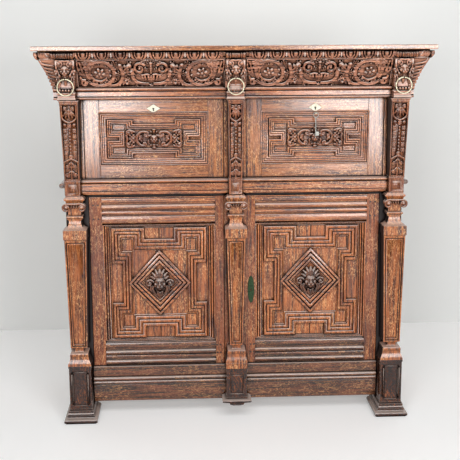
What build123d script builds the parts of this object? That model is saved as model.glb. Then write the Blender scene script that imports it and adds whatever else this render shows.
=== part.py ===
from build123d import *
import os

# Court cupboard in carved oak, in millimetres.
# X runs to the right, Y to the back and Z up; the origin is on the floor, under the middle of the top.

# Top board
top_width = 1600
top_depth = 580
top_thick = 18
top_edge_round = 3
side_overhang = 98
front_overhang = 130
back_overhang = 5

# Courses of the front, from the floor up
foot_height = 54
bottom_rail_clearance = 64
bottom_rail_height = 158
door_height = 731
mid_rail_height = 73
flap_height = 323
frieze_rail_height = 47
drawer_front_height = 111
cornice_height = 33
leaf_gap = 2

# Frame members
post_width = 93
upper_post_width = 82
post_depth = 62
rear_post_size = 60
centre_stile_width = 90
centre_stile_depth = 48
board_thick = 18
side_rail_thick = 28
side_panel_thick = 12
side_panel_recess = 8
partition_thick = 20
back_board_thick = 14
back_board_count = 6
joint_gap = 0.2

# Rails across the front
bottom_rail_depth = 50
bottom_rail_proud = 10
bottom_bead_radius = 8
bottom_bead_drop = 56
mid_rail_depth = 60
mid_rail_proud = 25
mid_rail_drip = 11
mid_bead_radius = 5
frieze_rail_proud = 35
frieze_rail_side_proud = 19
frieze_bead_radius = 6
frieze_bead_offset = 4
stop_drop = 12
stop_end_clearance = 30
belt_bead_radius = 10
belt_bead_proud = 15
belt_bead_lift = 47

# Doors and fall-fronts
door_thick = 28
door_outer_stile = 52
door_inner_edge_to_field = 85
door_top_rail = 119
door_bottom_rail = 109
flap_setback = 5
flap_thick = 24
flap_stile = 64
flap_top_rail = 53
flap_bottom_rail = 55
panel_thick = 12
door_panel_recess = 10
flap_panel_recess = 8
panel_tongue = 8
tongue_clearance = 0.2
pivot_inset = 8
pivot_radius = 4
pivot_depth = 14
pivot_clearance = 0.05
pin_seat_clearance = 0.02
stop_clearance = 0.5

# Applied work on the door panels: one quarter of the strapwork, then the lozenge and its mask
door_strap_thick = 12
door_strap_margin = (36, 13.5)
door_lobe_step = (44, 48)
door_strap_width = (43, 53)
door_arm = (61, 86)
door_cell = (40, 51)
cell_web = 2
lozenge_lap = (18, 5)
lozenge_field_half = 75
lozenge_thick = 15
mask_radius = 32
mask_proud = 30

# Applied work on the fall-fronts
flap_strap_thick = 9
flap_strap_margin = (34.5, 28.5)
flap_lobe_step = 18
flap_strap_width = (25, 26)
flap_arm = 86
flap_notch = (45, 6)
flap_cell = (48, 21)
cartouche_gap = 3
cartouche_lap = 3
cartouche_thick = 22
cartouche_round = 6
sunk_frame_width = 14

# Frieze, cornice and drawers
frieze_flare = 57
frieze_side_foot = 12
ovolo_radius = 22
drawer_front_thick = 24
drawer_wall = 12
drawer_bottom_thick = 8
drawer_bottom_lift = 6
drawer_box_height = 98
runner_height = 12
runner_width = 20
runner_gap = 0.5
guide_gap = 2
guide_width = 8
guide_height = 30

# Brackets and rings
bracket_inset = 28
bracket_width = 74
centre_roller_half = 41
corner_roller_reach = 56
bracket_notch_depth = 6
console_faces = (45, 55, 67)
console_foot_height = 22
console_waist = 20
console_flat = 14
console_shoulder = 22
bracket_fit = 2
roller_height = 26
roller_proud = 26
lion_radius = 20
lion_proud = 62
lion_rise = 36
ring_diameter = 69
ring_wire = 5
eye_wire = 3
eye_clearance = 0.7
ring_proud = 102
ring_lift = 38

# Upper pilasters
pilaster_foot_width = 62
pilaster_head_width = 72
centre_pilaster_foot_width = 55
centre_pilaster_head_width = 60
pilaster_foot_proud = 55
pilaster_head_proud = 88
pilaster_cap_height = 13
pilaster_cap_ledge = 3
block_recess = 3
block_margin = 10

# Lower columns, from the plinth up
column_clearance = 6
plinth_width = 96
centre_plinth_width = 90
plinth_proud = 82
plinth_rise = 25
base_ogee_height = 41
base_plate_height = 16
base_plate_width = 77
base_plate_proud = 80
waist_height = 21
waist_width = 35
waist_proud = 65
shaft_foot_width = 70
shaft_head_width = 90
centre_shaft_foot_width = 54
centre_shaft_head_width = 76
shaft_proud = 72
shaft_recess = 5
shaft_margin = 12
cove_height = 8
capital_block_height = 38
capital_block_proud = 80
bell_height = 38
bell_top_width = 48
neck_proud = 55
collar_height = 10
astragal_height = 9
astragal_width = 69
astragal_proud = 65
neck_height = 28
neck_width = 62
volute_radius = 14
volute_spread = 25
volute_drop = 6
volute_zone = 36
volute_proud = 75
abacus_height = 17
abacus_width = 85
abacus_top_width = 69

# Feet
foot_width = 140
foot_proud = 108
foot_top_width = 105
foot_top_proud = 90
foot_pad_height = 24
foot_set_back = 90
hanging_foot_width = 124
hanging_foot_height = 15
hanging_foot_proud = 98
hanging_drop_height = 16
hanging_drop_below = 4
hanging_drop_width = 60

# Shelf, locks, bolts and key
shelf_lift = 378
cleat_size = 22
lock_thick = 16
lock_size = (116, 80)
lock_lift = 326
lock_inset = 19
lock_edge_margin = 6
lock_bolt_size = (60, 6, 24)
lock_bolt_projection = 2
bolt_clearance = 0.5
bolt_setback = 4
flap_lock_size = (90, 50)
flap_bolt_size = (30, 6, 26)
escutcheon_thick = 2.5
door_escutcheon_size = (27, 117)
flap_escutcheon_size = (55, 34)
flap_escutcheon_lift = 2
keyhole_radius = 3
barrel_bolt_size = (12, 8, 120)
bolt_plate_width = 40
bolt_plate_thick = 2
bolt_plate_length = 90
bolt_plate_drop = 8
staple_wall = 3
staple_height = 10
mortise_clearance = 1
mortise_depth = 14
key_drop = 23
key_bow_radius = 10.5
key_wire = 3
key_length = 77
key_shank_radius = 2.5
key_stand_off = 20
key_bit = (13, 16)
key_hook_radius = 1.5
key_hook_length = 26
key_play = 0.4

# Levels and planes that follow from the sizes above
bottom_rail_top = bottom_rail_clearance + bottom_rail_height
door_bottom = bottom_rail_top + leaf_gap
door_top = door_bottom + door_height
mid_rail_bottom = door_top + leaf_gap
mid_rail_top = mid_rail_bottom + mid_rail_height
flap_bottom = mid_rail_top + leaf_gap
flap_top = flap_bottom + flap_height
frieze_rail_bottom = flap_top + leaf_gap
frieze_rail_top = frieze_rail_bottom + frieze_rail_height
drawer_bottom = frieze_rail_top + leaf_gap
drawer_top = drawer_bottom + drawer_front_height
cornice_bottom = drawer_top + leaf_gap
cornice_top = cornice_bottom + cornice_height
top_level = cornice_top + top_thick

body_half = top_width / 2 - side_overhang
face_y = -top_depth / 2 + front_overhang
back_y = top_depth / 2 - back_overhang
board_back = back_y - back_board_thick
opening_half = body_half - post_width
upper_opening_half = body_half - upper_post_width
inner_side = body_half - side_rail_thick
post_back = face_y + post_depth
stile_half = centre_stile_width / 2
stile_back = face_y + centre_stile_depth

door_outer = opening_half - leaf_gap
door_back = face_y + door_thick
meeting_x = -(centre_plinth_width / 2 + leaf_gap)
door_field_outer = door_outer - door_outer_stile
door_centre = (door_inner_edge_to_field + door_field_outer) / 2
door_field_bottom = door_bottom + door_bottom_rail
door_field_top = door_top - door_top_rail
door_field_level = (door_field_bottom + door_field_top) / 2
door_pivot_x = door_outer - pivot_inset
door_pivot_y = face_y + pivot_inset

flap_face = face_y + flap_setback
flap_back = flap_face + flap_thick
flap_inner = stile_half + leaf_gap
flap_outer = upper_opening_half - leaf_gap
flap_centre = (flap_inner + flap_outer) / 2
flap_field_bottom = flap_bottom + flap_bottom_rail
flap_field_top = flap_top - flap_top_rail
flap_field_level = (flap_field_bottom + flap_field_top) / 2
flap_pivot_y = flap_face + pivot_inset
flap_pivot_z = flap_bottom + pivot_inset

frieze_foot_y = face_y - frieze_rail_proud
frieze_head_y = frieze_foot_y - frieze_flare
roller_back = frieze_head_y + bracket_notch_depth
bracket_half = bracket_width / 2
drawer_inner = centre_roller_half + bracket_fit
bracket_axis = body_half - bracket_inset
corner_frieze_inner = bracket_axis - bracket_half - bracket_fit * 2
drawer_outer = corner_frieze_inner - bracket_fit
box_inner = stile_half + guide_gap
box_outer = upper_opening_half - guide_gap - guide_width / 2
deck_top = frieze_rail_top - runner_height

# Outlines of the applied work: the lobes keep a margin inside the field, and the rest steps in from them
door_lobe = (
    (door_field_outer - door_inner_edge_to_field) / 2 - door_strap_margin[0],
    (door_field_top - door_field_bottom) / 2 - door_strap_margin[1],
)
door_strap_reach = (door_lobe[0] - door_lobe_step[0], door_lobe[1] - door_lobe_step[1])
door_well = (door_strap_reach[0] - door_strap_width[0], door_strap_reach[1] - door_strap_width[1])
lozenge_half = (door_well[0] + lozenge_lap[0], door_well[1] + lozenge_lap[1])
flap_lobe = (
    (flap_outer - flap_inner) / 2 - flap_stile - flap_strap_margin[0],
    (flap_field_top - flap_field_bottom) / 2 - flap_strap_margin[1],
)
flap_strap_reach = flap_lobe[1] - flap_lobe_step
flap_well = (flap_lobe[0] - flap_notch[0] - flap_strap_width[0], flap_strap_reach - flap_strap_width[1])
cartouche_half = (flap_well[0] - cartouche_gap, flap_well[1] + cartouche_lap)

column_axis = door_outer + column_clearance + plinth_width / 2
pilaster_axis = body_half - pilaster_head_width / 2
plinth_top = door_bottom + plinth_rise
ring_top = frieze_rail_top + ring_lift
ring_y = face_y - ring_proud
belt_bead_level = mid_rail_bottom + belt_bead_lift
shelf_level = bottom_rail_top + shelf_lift
lock_level = door_bottom + lock_lift
lock_x = door_inner_edge_to_field - lock_inset
foot_back = face_y + foot_set_back
barrel_x = meeting_x - bolt_plate_width / 2 - 2 * leaf_gap
capital_head = mid_rail_bottom + mid_rail_drip

os.makedirs("parts", exist_ok=True)


def block(x_range, y_range, z_range):
    """A plain squared piece between three pairs of limits."""
    with BuildPart() as piece:
        with BuildSketch(Plane.XY.offset(z_range[0])):
            with Locations(((x_range[0] + x_range[1]) / 2, (y_range[0] + y_range[1]) / 2)):
                Rectangle(abs(x_range[1] - x_range[0]), abs(y_range[1] - y_range[0]))
        extrude(amount=z_range[1] - z_range[0])
    return piece.part


def sided(side, low, high):
    """The X limits of a piece on one side: side is -1 for the left and 1 for the right."""
    return tuple(sorted((side * low, side * high)))


def tier(axis, z_range, widths, prouds, back):
    """One course of a column: a rectangle at each level, so far proud of the front, with straight sides."""
    with BuildPart() as piece:
        for level, width, proud in zip(z_range, widths, prouds):
            front = face_y - proud
            with BuildSketch(Plane.XY.offset(level)):
                with Locations((axis, (back + front) / 2)):
                    Rectangle(width, back - front)
        loft(ruled=True)
    return piece.part


def bead_along_x(x_range, y, z, radius):
    """A round bead that runs across the front."""
    with BuildPart() as piece:
        with BuildSketch(Plane.YZ.offset(x_range[0])):
            with Locations((y, z)):
                Circle(radius)
        extrude(amount=x_range[1] - x_range[0])
    return piece.part


def bead_along_y(x, z, y_range, radius):
    """A round bead that runs from front to back."""
    with BuildPart() as piece:
        with BuildSketch(Plane.XZ.offset(-y_range[1])):
            with Locations((x, z)):
                Circle(radius)
        extrude(amount=y_range[1] - y_range[0])
    return piece.part


def pin(centre, direction, radius, length):
    """A round pin from a point, along a direction."""
    with BuildPart() as piece:
        with BuildSketch(Plane(origin=centre, z_dir=direction)):
            Circle(radius)
        extrude(amount=length)
    return piece.part


def plate(outline, y_front, thick, hole=None):
    """A flat plate that faces the front, from closed outlines of (x, z) points."""
    with BuildPart() as piece:
        with BuildSketch(Plane(origin=(0, y_front, 0), x_dir=(1, 0, 0), z_dir=(0, -1, 0))):
            with BuildLine():
                Polyline(*outline, close=True)
            make_face()
            if hole:
                with BuildLine():
                    Polyline(*hole, close=True)
                make_face(mode=Mode.SUBTRACT)
        extrude(amount=-thick)
    return piece.part


def rectangle_outline(half_x, half_z):
    """A rectangle's corners about its centre."""
    return ((-half_x, -half_z), (half_x, -half_z), (half_x, half_z), (-half_x, half_z))


def lozenge_outline(half_x, half_z):
    """A lozenge's corners about its centre."""
    return ((-half_x, 0), (0, half_z), (half_x, 0), (0, -half_z))


def mirrored_outline(quarter):
    """A closed outline from its points in the first quarter, listed from the Z axis to the X axis."""
    right_top = list(quarter)
    right_bottom = [(x, -z) for x, z in reversed(quarter)]
    left_bottom = [(-x, -z) for x, z in quarter]
    left_top = [(-x, z) for x, z in reversed(quarter)]
    points = []
    for x, z in right_top + right_bottom + left_bottom + left_top:
        if not points or (abs(x - points[-1][0]) + abs(z - points[-1][1])) > 0.001:
            points.append((x, z))
    if abs(points[0][0] - points[-1][0]) + abs(points[0][1] - points[-1][1]) < 0.001:
        points.pop()
    return points


def placed(outline, x, z):
    """An outline moved to its centre on the front."""
    return [(px + x, pz + z) for px, pz in outline]


# Top board, with a small round along its edges
with BuildPart() as top_board:
    add(block((-top_width / 2, top_width / 2), (-top_depth / 2, top_depth / 2), (cornice_top, top_level)))
    fillet(top_board.edges().filter_by(Plane.XY), top_edge_round)
top_board.part.label = "top_board"
export_step(top_board.part, "parts/top_board.step")

# Cornice: an ovolo in three mitred lengths, notched where the brackets rise into it
cornice_half = body_half + frieze_side_foot + frieze_flare + ovolo_radius
cornice_front = frieze_head_y - ovolo_radius
with BuildPart() as cornice:
    add(block((-cornice_half, cornice_half), (cornice_front, back_y), (cornice_bottom, cornice_top)))
    ovolo_edges = cornice.edges().filter_by(Plane.XY).group_by(Axis.Z)[0].sort_by(Axis.Y)[:-1]
    fillet(ovolo_edges, ovolo_radius)
    add(
        block((-body_half, body_half), (face_y, back_y), (cornice_bottom, cornice_top)),
        mode=Mode.SUBTRACT,
    )
    notch_top = cornice_bottom + roller_height
    for notch_range in (
        (-centre_roller_half, centre_roller_half),
        (bracket_axis - bracket_half, bracket_axis + corner_roller_reach),
        (-bracket_axis - corner_roller_reach, -bracket_axis + bracket_half),
    ):
        add(block(notch_range, (cornice_front, roller_back), (cornice_bottom, notch_top)), mode=Mode.SUBTRACT)
    for side in (-1, 1):
        with BuildSketch(Plane.XY.offset(cornice_bottom)):
            with BuildLine():
                Polyline(
                    (side * body_half, face_y),
                    (side * cornice_half, cornice_front),
                    (side * (cornice_half - joint_gap), cornice_front),
                    (side * (body_half - joint_gap), face_y),
                    close=True,
                )
            make_face()
        extrude(amount=cornice_height, mode=Mode.SUBTRACT)
cornice.part.label = "cornice"
export_step(cornice.part, "parts/cornice.step")


def corner_frieze(side):
    """The canted frieze at one corner and along its side, as one mitred L-shaped piece."""
    with BuildPart() as piece:
        for level, flare in ((frieze_rail_top, 0), (cornice_bottom, frieze_flare)):
            outer = body_half + frieze_side_foot + flare
            front = frieze_foot_y - flare
            with BuildSketch(Plane.XY.offset(level)):
                with BuildLine():
                    Polyline(
                        (side * corner_frieze_inner, front),
                        (side * outer, front),
                        (side * outer, back_y),
                        (side * body_half, back_y),
                        (side * body_half, face_y),
                        (side * corner_frieze_inner, face_y),
                        close=True,
                    )
                make_face()
        loft(ruled=True)
    return piece.part


with BuildPart() as side_friezes:
    for side in (-1, 1):
        add(corner_frieze(side))
side_friezes.part.label = "side_friezes"
export_step(side_friezes.part, "parts/side_friezes.step")

# Frieze rail: one length across the front with a stop for each fall-front, and a return on each side
rail_front = face_y - frieze_rail_proud
frieze_rail_end = body_half + frieze_rail_side_proud + frieze_bead_offset + frieze_bead_radius
frieze_bead_level = frieze_rail_top - frieze_bead_radius
with BuildPart() as frieze_rail:
    rail_z = (frieze_rail_bottom, frieze_rail_top)
    add(block((-frieze_rail_end, frieze_rail_end), (rail_front, face_y), rail_z))
    add(
        bead_along_x(
            (-frieze_rail_end, frieze_rail_end),
            rail_front - frieze_bead_offset,
            frieze_bead_level,
            frieze_bead_radius,
        )
    )
    inner_rail_z = (frieze_rail_bottom, deck_top)
    add(block((-upper_opening_half, upper_opening_half), (face_y, stile_back), inner_rail_z))
    for side in (-1, 1):
        stop_range = sided(side, flap_inner + leaf_gap, flap_outer - leaf_gap)
        add(
            block(
                stop_range,
                (flap_back + stop_clearance, stile_back),
                (frieze_rail_bottom - stop_drop, frieze_rail_bottom),
            )
        )
        mortise_x = (
            side * flap_centre - flap_bolt_size[0] / 2 - mortise_clearance,
            side * flap_centre + flap_bolt_size[0] / 2 + mortise_clearance,
        )
        mortise_y = (
            flap_back + bolt_setback - mortise_clearance,
            flap_back + bolt_setback + flap_bolt_size[1] + mortise_clearance,
        )
        mortise_z = (frieze_rail_bottom - stop_drop, frieze_rail_bottom - stop_drop + mortise_depth)
        add(block(mortise_x, mortise_y, mortise_z), mode=Mode.SUBTRACT)
        add(
            block(
                sided(side, body_half, body_half + frieze_rail_side_proud),
                (face_y + joint_gap, back_y),
                (frieze_rail_bottom, frieze_rail_top),
            )
        )
        add(
            bead_along_y(
                side * (body_half + frieze_rail_side_proud + frieze_bead_offset),
                frieze_bead_level,
                (face_y + joint_gap, back_y),
                frieze_bead_radius,
            )
        )
frieze_rail.part.label = "frieze_rail"
export_step(frieze_rail.part, "parts/frieze_rail.step")

# Middle rail: between the posts, with a moulded front that runs on across them and two door stops
with BuildPart() as mid_rail:
    inner_rail_y = (face_y, face_y + mid_rail_depth)
    add(block((-opening_half, opening_half), inner_rail_y, (mid_rail_bottom, mid_rail_top)))
    add(block((-body_half, body_half), (face_y - mid_rail_proud, face_y), (capital_head, mid_rail_top)))
    add(
        bead_along_x(
            (-body_half, body_half),
            face_y - mid_rail_proud,
            mid_rail_top - mid_bead_radius - leaf_gap,
            mid_bead_radius,
        )
    )
    for side in (-1, 1):
        add(
            block(
                sided(side, stop_end_clearance, opening_half - stop_end_clearance),
                (door_back + stop_clearance, face_y + mid_rail_depth),
                (mid_rail_bottom - stop_drop, mid_rail_bottom),
            )
        )
        add(
            pin(
                (side * door_pivot_x, door_pivot_y, mid_rail_bottom),
                (0, 0, 1),
                pivot_radius + pin_seat_clearance,
                pivot_depth,
            ),
            mode=Mode.SUBTRACT,
        )
    add(
        block(
            (
                barrel_x - barrel_bolt_size[0] / 2 - mortise_clearance,
                barrel_x + barrel_bolt_size[0] / 2 + mortise_clearance,
            ),
            (
                door_back + bolt_plate_thick,
                door_back + bolt_plate_thick + barrel_bolt_size[1] + 2 * mortise_clearance,
            ),
            (mid_rail_bottom - stop_drop, mid_rail_bottom - stop_drop + mortise_depth),
        ),
        mode=Mode.SUBTRACT,
    )
mid_rail.part.label = "mid_rail"
export_step(mid_rail.part, "parts/mid_rail.step")

# Bottom rail: a fascia with a double bead
bottom_rail_front = face_y - bottom_rail_proud
with BuildPart() as bottom_rail:
    add(
        block(
            (-opening_half, opening_half),
            (bottom_rail_front, bottom_rail_front + bottom_rail_depth),
            (bottom_rail_clearance, bottom_rail_top),
        )
    )
    for bead_index in (0, 1):
        add(
            bead_along_x(
                (-opening_half, opening_half),
                bottom_rail_front,
                bottom_rail_top - bottom_bead_drop - 2 * bead_index * bottom_bead_radius,
                bottom_bead_radius,
            )
        )
    for side in (-1, 1):
        add(
            pin(
                (side * door_pivot_x, door_pivot_y, bottom_rail_top),
                (0, 0, -1),
                pivot_radius + pin_seat_clearance,
                pivot_depth,
            ),
            mode=Mode.SUBTRACT,
        )
bottom_rail.part.label = "bottom_rail"
export_step(bottom_rail.part, "parts/bottom_rail.step")


def front_post(side):
    """A corner post: full width beside the door, narrower above, with a seat for the fall-front's pin."""
    with BuildPart() as piece:
        add(block(sided(side, opening_half, body_half), (face_y, post_back), (foot_height, cornice_top)))
        step_x = sided(side, opening_half, upper_opening_half)
        add(block(step_x, (face_y, post_back), (mid_rail_top, cornice_top)), mode=Mode.SUBTRACT)
        add(
            pin(
                (side * upper_opening_half, flap_pivot_y, flap_pivot_z),
                (side, 0, 0),
                pivot_radius + pin_seat_clearance,
                pivot_depth,
            ),
            mode=Mode.SUBTRACT,
        )
    return piece.part


with BuildPart() as left_front_post:
    add(front_post(-1))
left_front_post.part.label = "left_front_post"
export_step(left_front_post.part, "parts/left_front_post.step")

with BuildPart() as right_front_post:
    add(front_post(1))
right_front_post.part.label = "right_front_post"
export_step(right_front_post.part, "parts/right_front_post.step")

# Rear posts, which stand on the floor
rear_post_front = back_y - rear_post_size
rear_post_inner = body_half - rear_post_size
with BuildPart() as rear_posts:
    for side in (-1, 1):
        add(block(sided(side, rear_post_inner, body_half), (rear_post_front, back_y), (0, cornice_top)))
rear_posts.part.label = "rear_posts"
export_step(rear_posts.part, "parts/rear_posts.step")

# Centre stile between the two fall-fronts, with a seat for a pin on each side
with BuildPart() as centre_stile:
    add(block((-stile_half, stile_half), (face_y, stile_back), (mid_rail_top, frieze_rail_bottom)))
    for side in (-1, 1):
        add(
            pin(
                (side * stile_half, flap_pivot_y, flap_pivot_z),
                (-side, 0, 0),
                pivot_radius + pin_seat_clearance,
                pivot_depth,
            ),
            mode=Mode.SUBTRACT,
        )
centre_stile.part.label = "centre_stile"
export_step(centre_stile.part, "parts/centre_stile.step")

# Side frames: three rails on each side, with a panel below and one above
with BuildPart() as side_rails:
    for side in (-1, 1):
        for rail_range in (
            (bottom_rail_clearance, bottom_rail_top),
            (mid_rail_bottom, mid_rail_top),
            (frieze_rail_bottom, cornice_top),
        ):
            add(block(sided(side, inner_side, body_half), (post_back, rear_post_front), rail_range))
side_rails.part.label = "side_rails"
export_step(side_rails.part, "parts/side_rails.step")

panel_outer = body_half - side_panel_recess
with BuildPart() as side_panels:
    for side in (-1, 1):
        for panel_range in ((bottom_rail_top, mid_rail_bottom), (mid_rail_top, frieze_rail_bottom)):
            add(
                block(
                    sided(side, panel_outer - side_panel_thick, panel_outer),
                    (post_back, rear_post_front),
                    panel_range,
                )
            )
side_panels.part.label = "side_panels"
export_step(side_panels.part, "parts/side_panels.step")

# Belt moulding along each side, level with the middle rail
with BuildPart() as belt_mouldings:
    for side in (-1, 1):
        add(
            block(
                sided(side, body_half, body_half + belt_bead_proud),
                (face_y, back_y),
                (belt_bead_level - belt_bead_radius, belt_bead_level + belt_bead_radius),
            )
        )
        add(
            bead_along_y(
                side * (body_half + belt_bead_proud),
                belt_bead_level,
                (face_y, back_y),
                belt_bead_radius,
            )
        )
belt_mouldings.part.label = "belt_mouldings"
export_step(belt_mouldings.part, "parts/belt_mouldings.step")

# Back boards, upright planks that close the back between the rear posts
plank_pitch = 2 * rear_post_inner / back_board_count
with BuildPart() as back_boards:
    for index in range(back_board_count):
        plank_start = -rear_post_inner + index * plank_pitch
        add(
            block(
                (plank_start + joint_gap, plank_start + plank_pitch - joint_gap),
                (board_back, back_y),
                (bottom_rail_clearance, cornice_top),
            )
        )
back_boards.part.label = "back_boards"
export_step(back_boards.part, "parts/back_boards.step")


def deck(front, top):
    """A board that fills the carcase at one level, notched round the four posts."""
    with BuildPart() as piece:
        add(block((-inner_side, inner_side), (front, board_back), (top - board_thick, top)))
        for side in (-1, 1):
            if front < post_back:
                add(
                    block(
                        sided(side, opening_half, body_half),
                        (face_y, post_back),
                        (top - board_thick, top),
                    ),
                    mode=Mode.SUBTRACT,
                )
            add(
                block(
                    sided(side, rear_post_inner, body_half),
                    (rear_post_front, back_y),
                    (top - board_thick, top),
                ),
                mode=Mode.SUBTRACT,
            )
    return piece.part


# Boards: the floor, the deck between the two storeys, and the deck under the drawers
with BuildPart() as carcase_boards:
    add(deck(bottom_rail_front + bottom_rail_depth, bottom_rail_top))
    add(deck(face_y + mid_rail_depth, mid_rail_top))
    add(deck(stile_back, deck_top))
carcase_boards.part.label = "carcase_boards"
export_step(carcase_boards.part, "parts/carcase_boards.step")

# Partition between the two upper compartments
with BuildPart() as centre_partition:
    add(
        block(
            (-partition_thick / 2, partition_thick / 2),
            (stile_back, board_back),
            (mid_rail_top, deck_top - board_thick),
        )
    )
centre_partition.part.label = "centre_partition"
export_step(centre_partition.part, "parts/centre_partition.step")

# Shelf in the lower cupboard, notched round the rear posts
shelf_front = post_back + leaf_gap
with BuildPart() as shelf:
    add(deck(shelf_front, shelf_level))
shelf.part.label = "shelf"
export_step(shelf.part, "parts/shelf.step")

# Bearers: the drawers' runners and guides, and the cleats under the shelf
with BuildPart() as bearers:
    for side in (-1, 1):
        for edge in (box_inner, box_outer - runner_width):
            add(
                block(
                    sided(side, edge, edge + runner_width),
                    (stile_back, board_back),
                    (deck_top, deck_top + runner_height),
                )
            )
        for edge in (box_inner - guide_gap - guide_width, box_outer + guide_gap):
            add(
                block(
                    sided(side, edge, edge + guide_width),
                    (post_back + leaf_gap, rear_post_front - leaf_gap),
                    (deck_top, deck_top + runner_height + guide_height),
                )
            )
        add(
            block(
                sided(side, panel_outer - side_panel_thick - cleat_size, panel_outer - side_panel_thick),
                (post_back, rear_post_front),
                (shelf_level - board_thick - cleat_size, shelf_level - board_thick),
            )
        )
bearers.part.label = "bearers"
export_step(bearers.part, "parts/bearers.step")


# Brackets: a scrolled front with a roller at its head, a lion's head at its middle and a plain foot
roller_front = frieze_head_y - roller_proud
lion_y = rail_front - lion_proud
bead_tip = rail_front - frieze_bead_offset - frieze_bead_radius


def console(axis, roller_range):
    """A bracket that stands on the canted frieze, with its head let into the cornice."""
    foot_y, middle_y, head_y = [rail_front - face for face in console_faces]
    with BuildPart() as piece:
        with BuildSketch(Plane.YZ.offset(axis - bracket_half)):
            with BuildLine():
                Polyline(
                    (foot_y, frieze_rail_bottom),
                    (foot_y, frieze_rail_bottom + console_foot_height),
                    (middle_y, frieze_rail_top + console_waist),
                    (middle_y, ring_top + console_flat),
                    (head_y, cornice_bottom - console_shoulder),
                    (head_y, cornice_bottom),
                    (frieze_head_y, cornice_bottom),
                    (frieze_foot_y, frieze_rail_top),
                    (bead_tip, frieze_rail_top),
                    (bead_tip, frieze_rail_bottom),
                    close=True,
                )
            make_face()
        extrude(amount=bracket_width)
        roller_z = (cornice_bottom, cornice_bottom + roller_height)
        add(block(roller_range, (roller_front, roller_back), roller_z))
        with Locations((axis, lion_y, ring_top + lion_rise)):
            Sphere(lion_radius)
    return piece.part


with BuildPart() as left_bracket:
    add(console(-bracket_axis, (-bracket_axis - corner_roller_reach, -bracket_axis + bracket_half)))
left_bracket.part.label = "left_bracket"
export_step(left_bracket.part, "parts/left_bracket.step")

with BuildPart() as right_bracket:
    add(console(bracket_axis, (bracket_axis - bracket_half, bracket_axis + corner_roller_reach)))
right_bracket.part.label = "right_bracket"
export_step(right_bracket.part, "parts/right_bracket.step")

# The centre bracket also fills the frieze between the two drawers
with BuildPart() as centre_bracket:
    add(console(0, (-centre_roller_half, centre_roller_half)))
    with BuildSketch(Plane.YZ.offset(-centre_roller_half)):
        with BuildLine():
            Polyline(
                (face_y, frieze_rail_top),
                (frieze_foot_y, frieze_rail_top),
                (frieze_head_y, cornice_bottom),
                (face_y, cornice_bottom),
                close=True,
            )
        make_face()
    extrude(amount=2 * centre_roller_half)
centre_bracket.part.label = "centre_bracket"
export_step(centre_bracket.part, "parts/centre_bracket.step")

# Staples with an eye, one in each bracket, which carry the rings
eye_radius = ring_wire / 2 + eye_clearance + eye_wire / 2
with BuildPart() as ring_staples:
    for axis in (-bracket_axis, 0, bracket_axis):
        with BuildSketch(Plane(origin=(axis, ring_y + eye_radius, ring_top))):
            Circle(eye_wire / 2)
        revolve(axis=Axis((axis, ring_y, ring_top), (1, 0, 0)), revolution_arc=360)
        shank_length = rail_front - console_faces[1] - (ring_y + eye_radius)
        add(pin((axis, ring_y + eye_radius, ring_top), (0, 1, 0), eye_wire / 2, shank_length))
ring_staples.part.label = "ring_staples"
export_step(ring_staples.part, "parts/ring_staples.step")


def drop_ring(axis):
    """A plain round ring that hangs in its staple's eye."""
    centre_radius = (ring_diameter - ring_wire) / 2
    with BuildPart() as piece:
        with BuildSketch(Plane(origin=(axis + centre_radius, ring_y, ring_top - centre_radius))):
            Circle(ring_wire / 2)
        revolve(axis=Axis((axis, ring_y, ring_top - centre_radius), (0, 1, 0)), revolution_arc=360)
    return piece.part


with BuildPart() as left_ring:
    add(drop_ring(-bracket_axis))
left_ring.part.label = "left_ring"
export_step(left_ring.part, "parts/left_ring.step")

with BuildPart() as centre_ring:
    add(drop_ring(0))
centre_ring.part.label = "centre_ring"
export_step(centre_ring.part, "parts/centre_ring.step")

with BuildPart() as right_ring:
    add(drop_ring(bracket_axis))
right_ring.part.label = "right_ring"
export_step(right_ring.part, "parts/right_ring.step")


def upper_pilaster(axis, foot_width, head_width):
    """A pilaster that widens towards its head, under a thin cap."""
    cap_bottom = frieze_rail_bottom - pilaster_cap_height
    cap_width = head_width + 2 * pilaster_cap_ledge
    cap_proud = pilaster_head_proud + pilaster_cap_ledge
    with BuildPart() as piece:
        add(
            tier(
                axis,
                (mid_rail_top, cap_bottom),
                (foot_width, head_width),
                (pilaster_foot_proud, pilaster_head_proud),
                face_y,
            )
        )
        add(
            tier(
                axis,
                (cap_bottom, frieze_rail_bottom),
                (cap_width, cap_width),
                (cap_proud, cap_proud),
                face_y,
            )
        )
    return piece.part


with BuildPart() as corner_pilasters:
    for side in (-1, 1):
        add(upper_pilaster(side * pilaster_axis, pilaster_foot_width, pilaster_head_width))
corner_pilasters.part.label = "corner_pilasters"
export_step(corner_pilasters.part, "parts/corner_pilasters.step")

with BuildPart() as centre_pilaster:
    add(upper_pilaster(0, centre_pilaster_foot_width, centre_pilaster_head_width))
centre_pilaster.part.label = "centre_pilaster"
export_step(centre_pilaster.part, "parts/centre_pilaster.step")

# Small blocks in front of the middle rail, each with a shallow sunk panel
block_back = face_y - mid_rail_proud - mid_bead_radius
block_front = face_y - pilaster_foot_proud
with BuildPart() as pilaster_blocks:
    for axis, width in (
        (-pilaster_axis, pilaster_foot_width),
        (0, centre_pilaster_foot_width),
        (pilaster_axis, pilaster_foot_width),
    ):
        half = width / 2
        block_y = (block_front, block_back)
        add(block((axis - half, axis + half), block_y, (capital_head, mid_rail_top)))
        add(
            block(
                (axis - half + block_margin, axis + half - block_margin),
                (block_front, block_front + block_recess),
                (capital_head + block_margin, mid_rail_top - block_margin),
            ),
            mode=Mode.SUBTRACT,
        )
pilaster_blocks.part.label = "pilaster_blocks"
export_step(pilaster_blocks.part, "parts/pilaster_blocks.step")

# Levels of the lower columns: the courses below the shaft build up, those above it hang down
base_plate_bottom = plinth_top + base_ogee_height
waist_bottom = base_plate_bottom + base_plate_height
shaft_bottom = waist_bottom + waist_height


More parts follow.
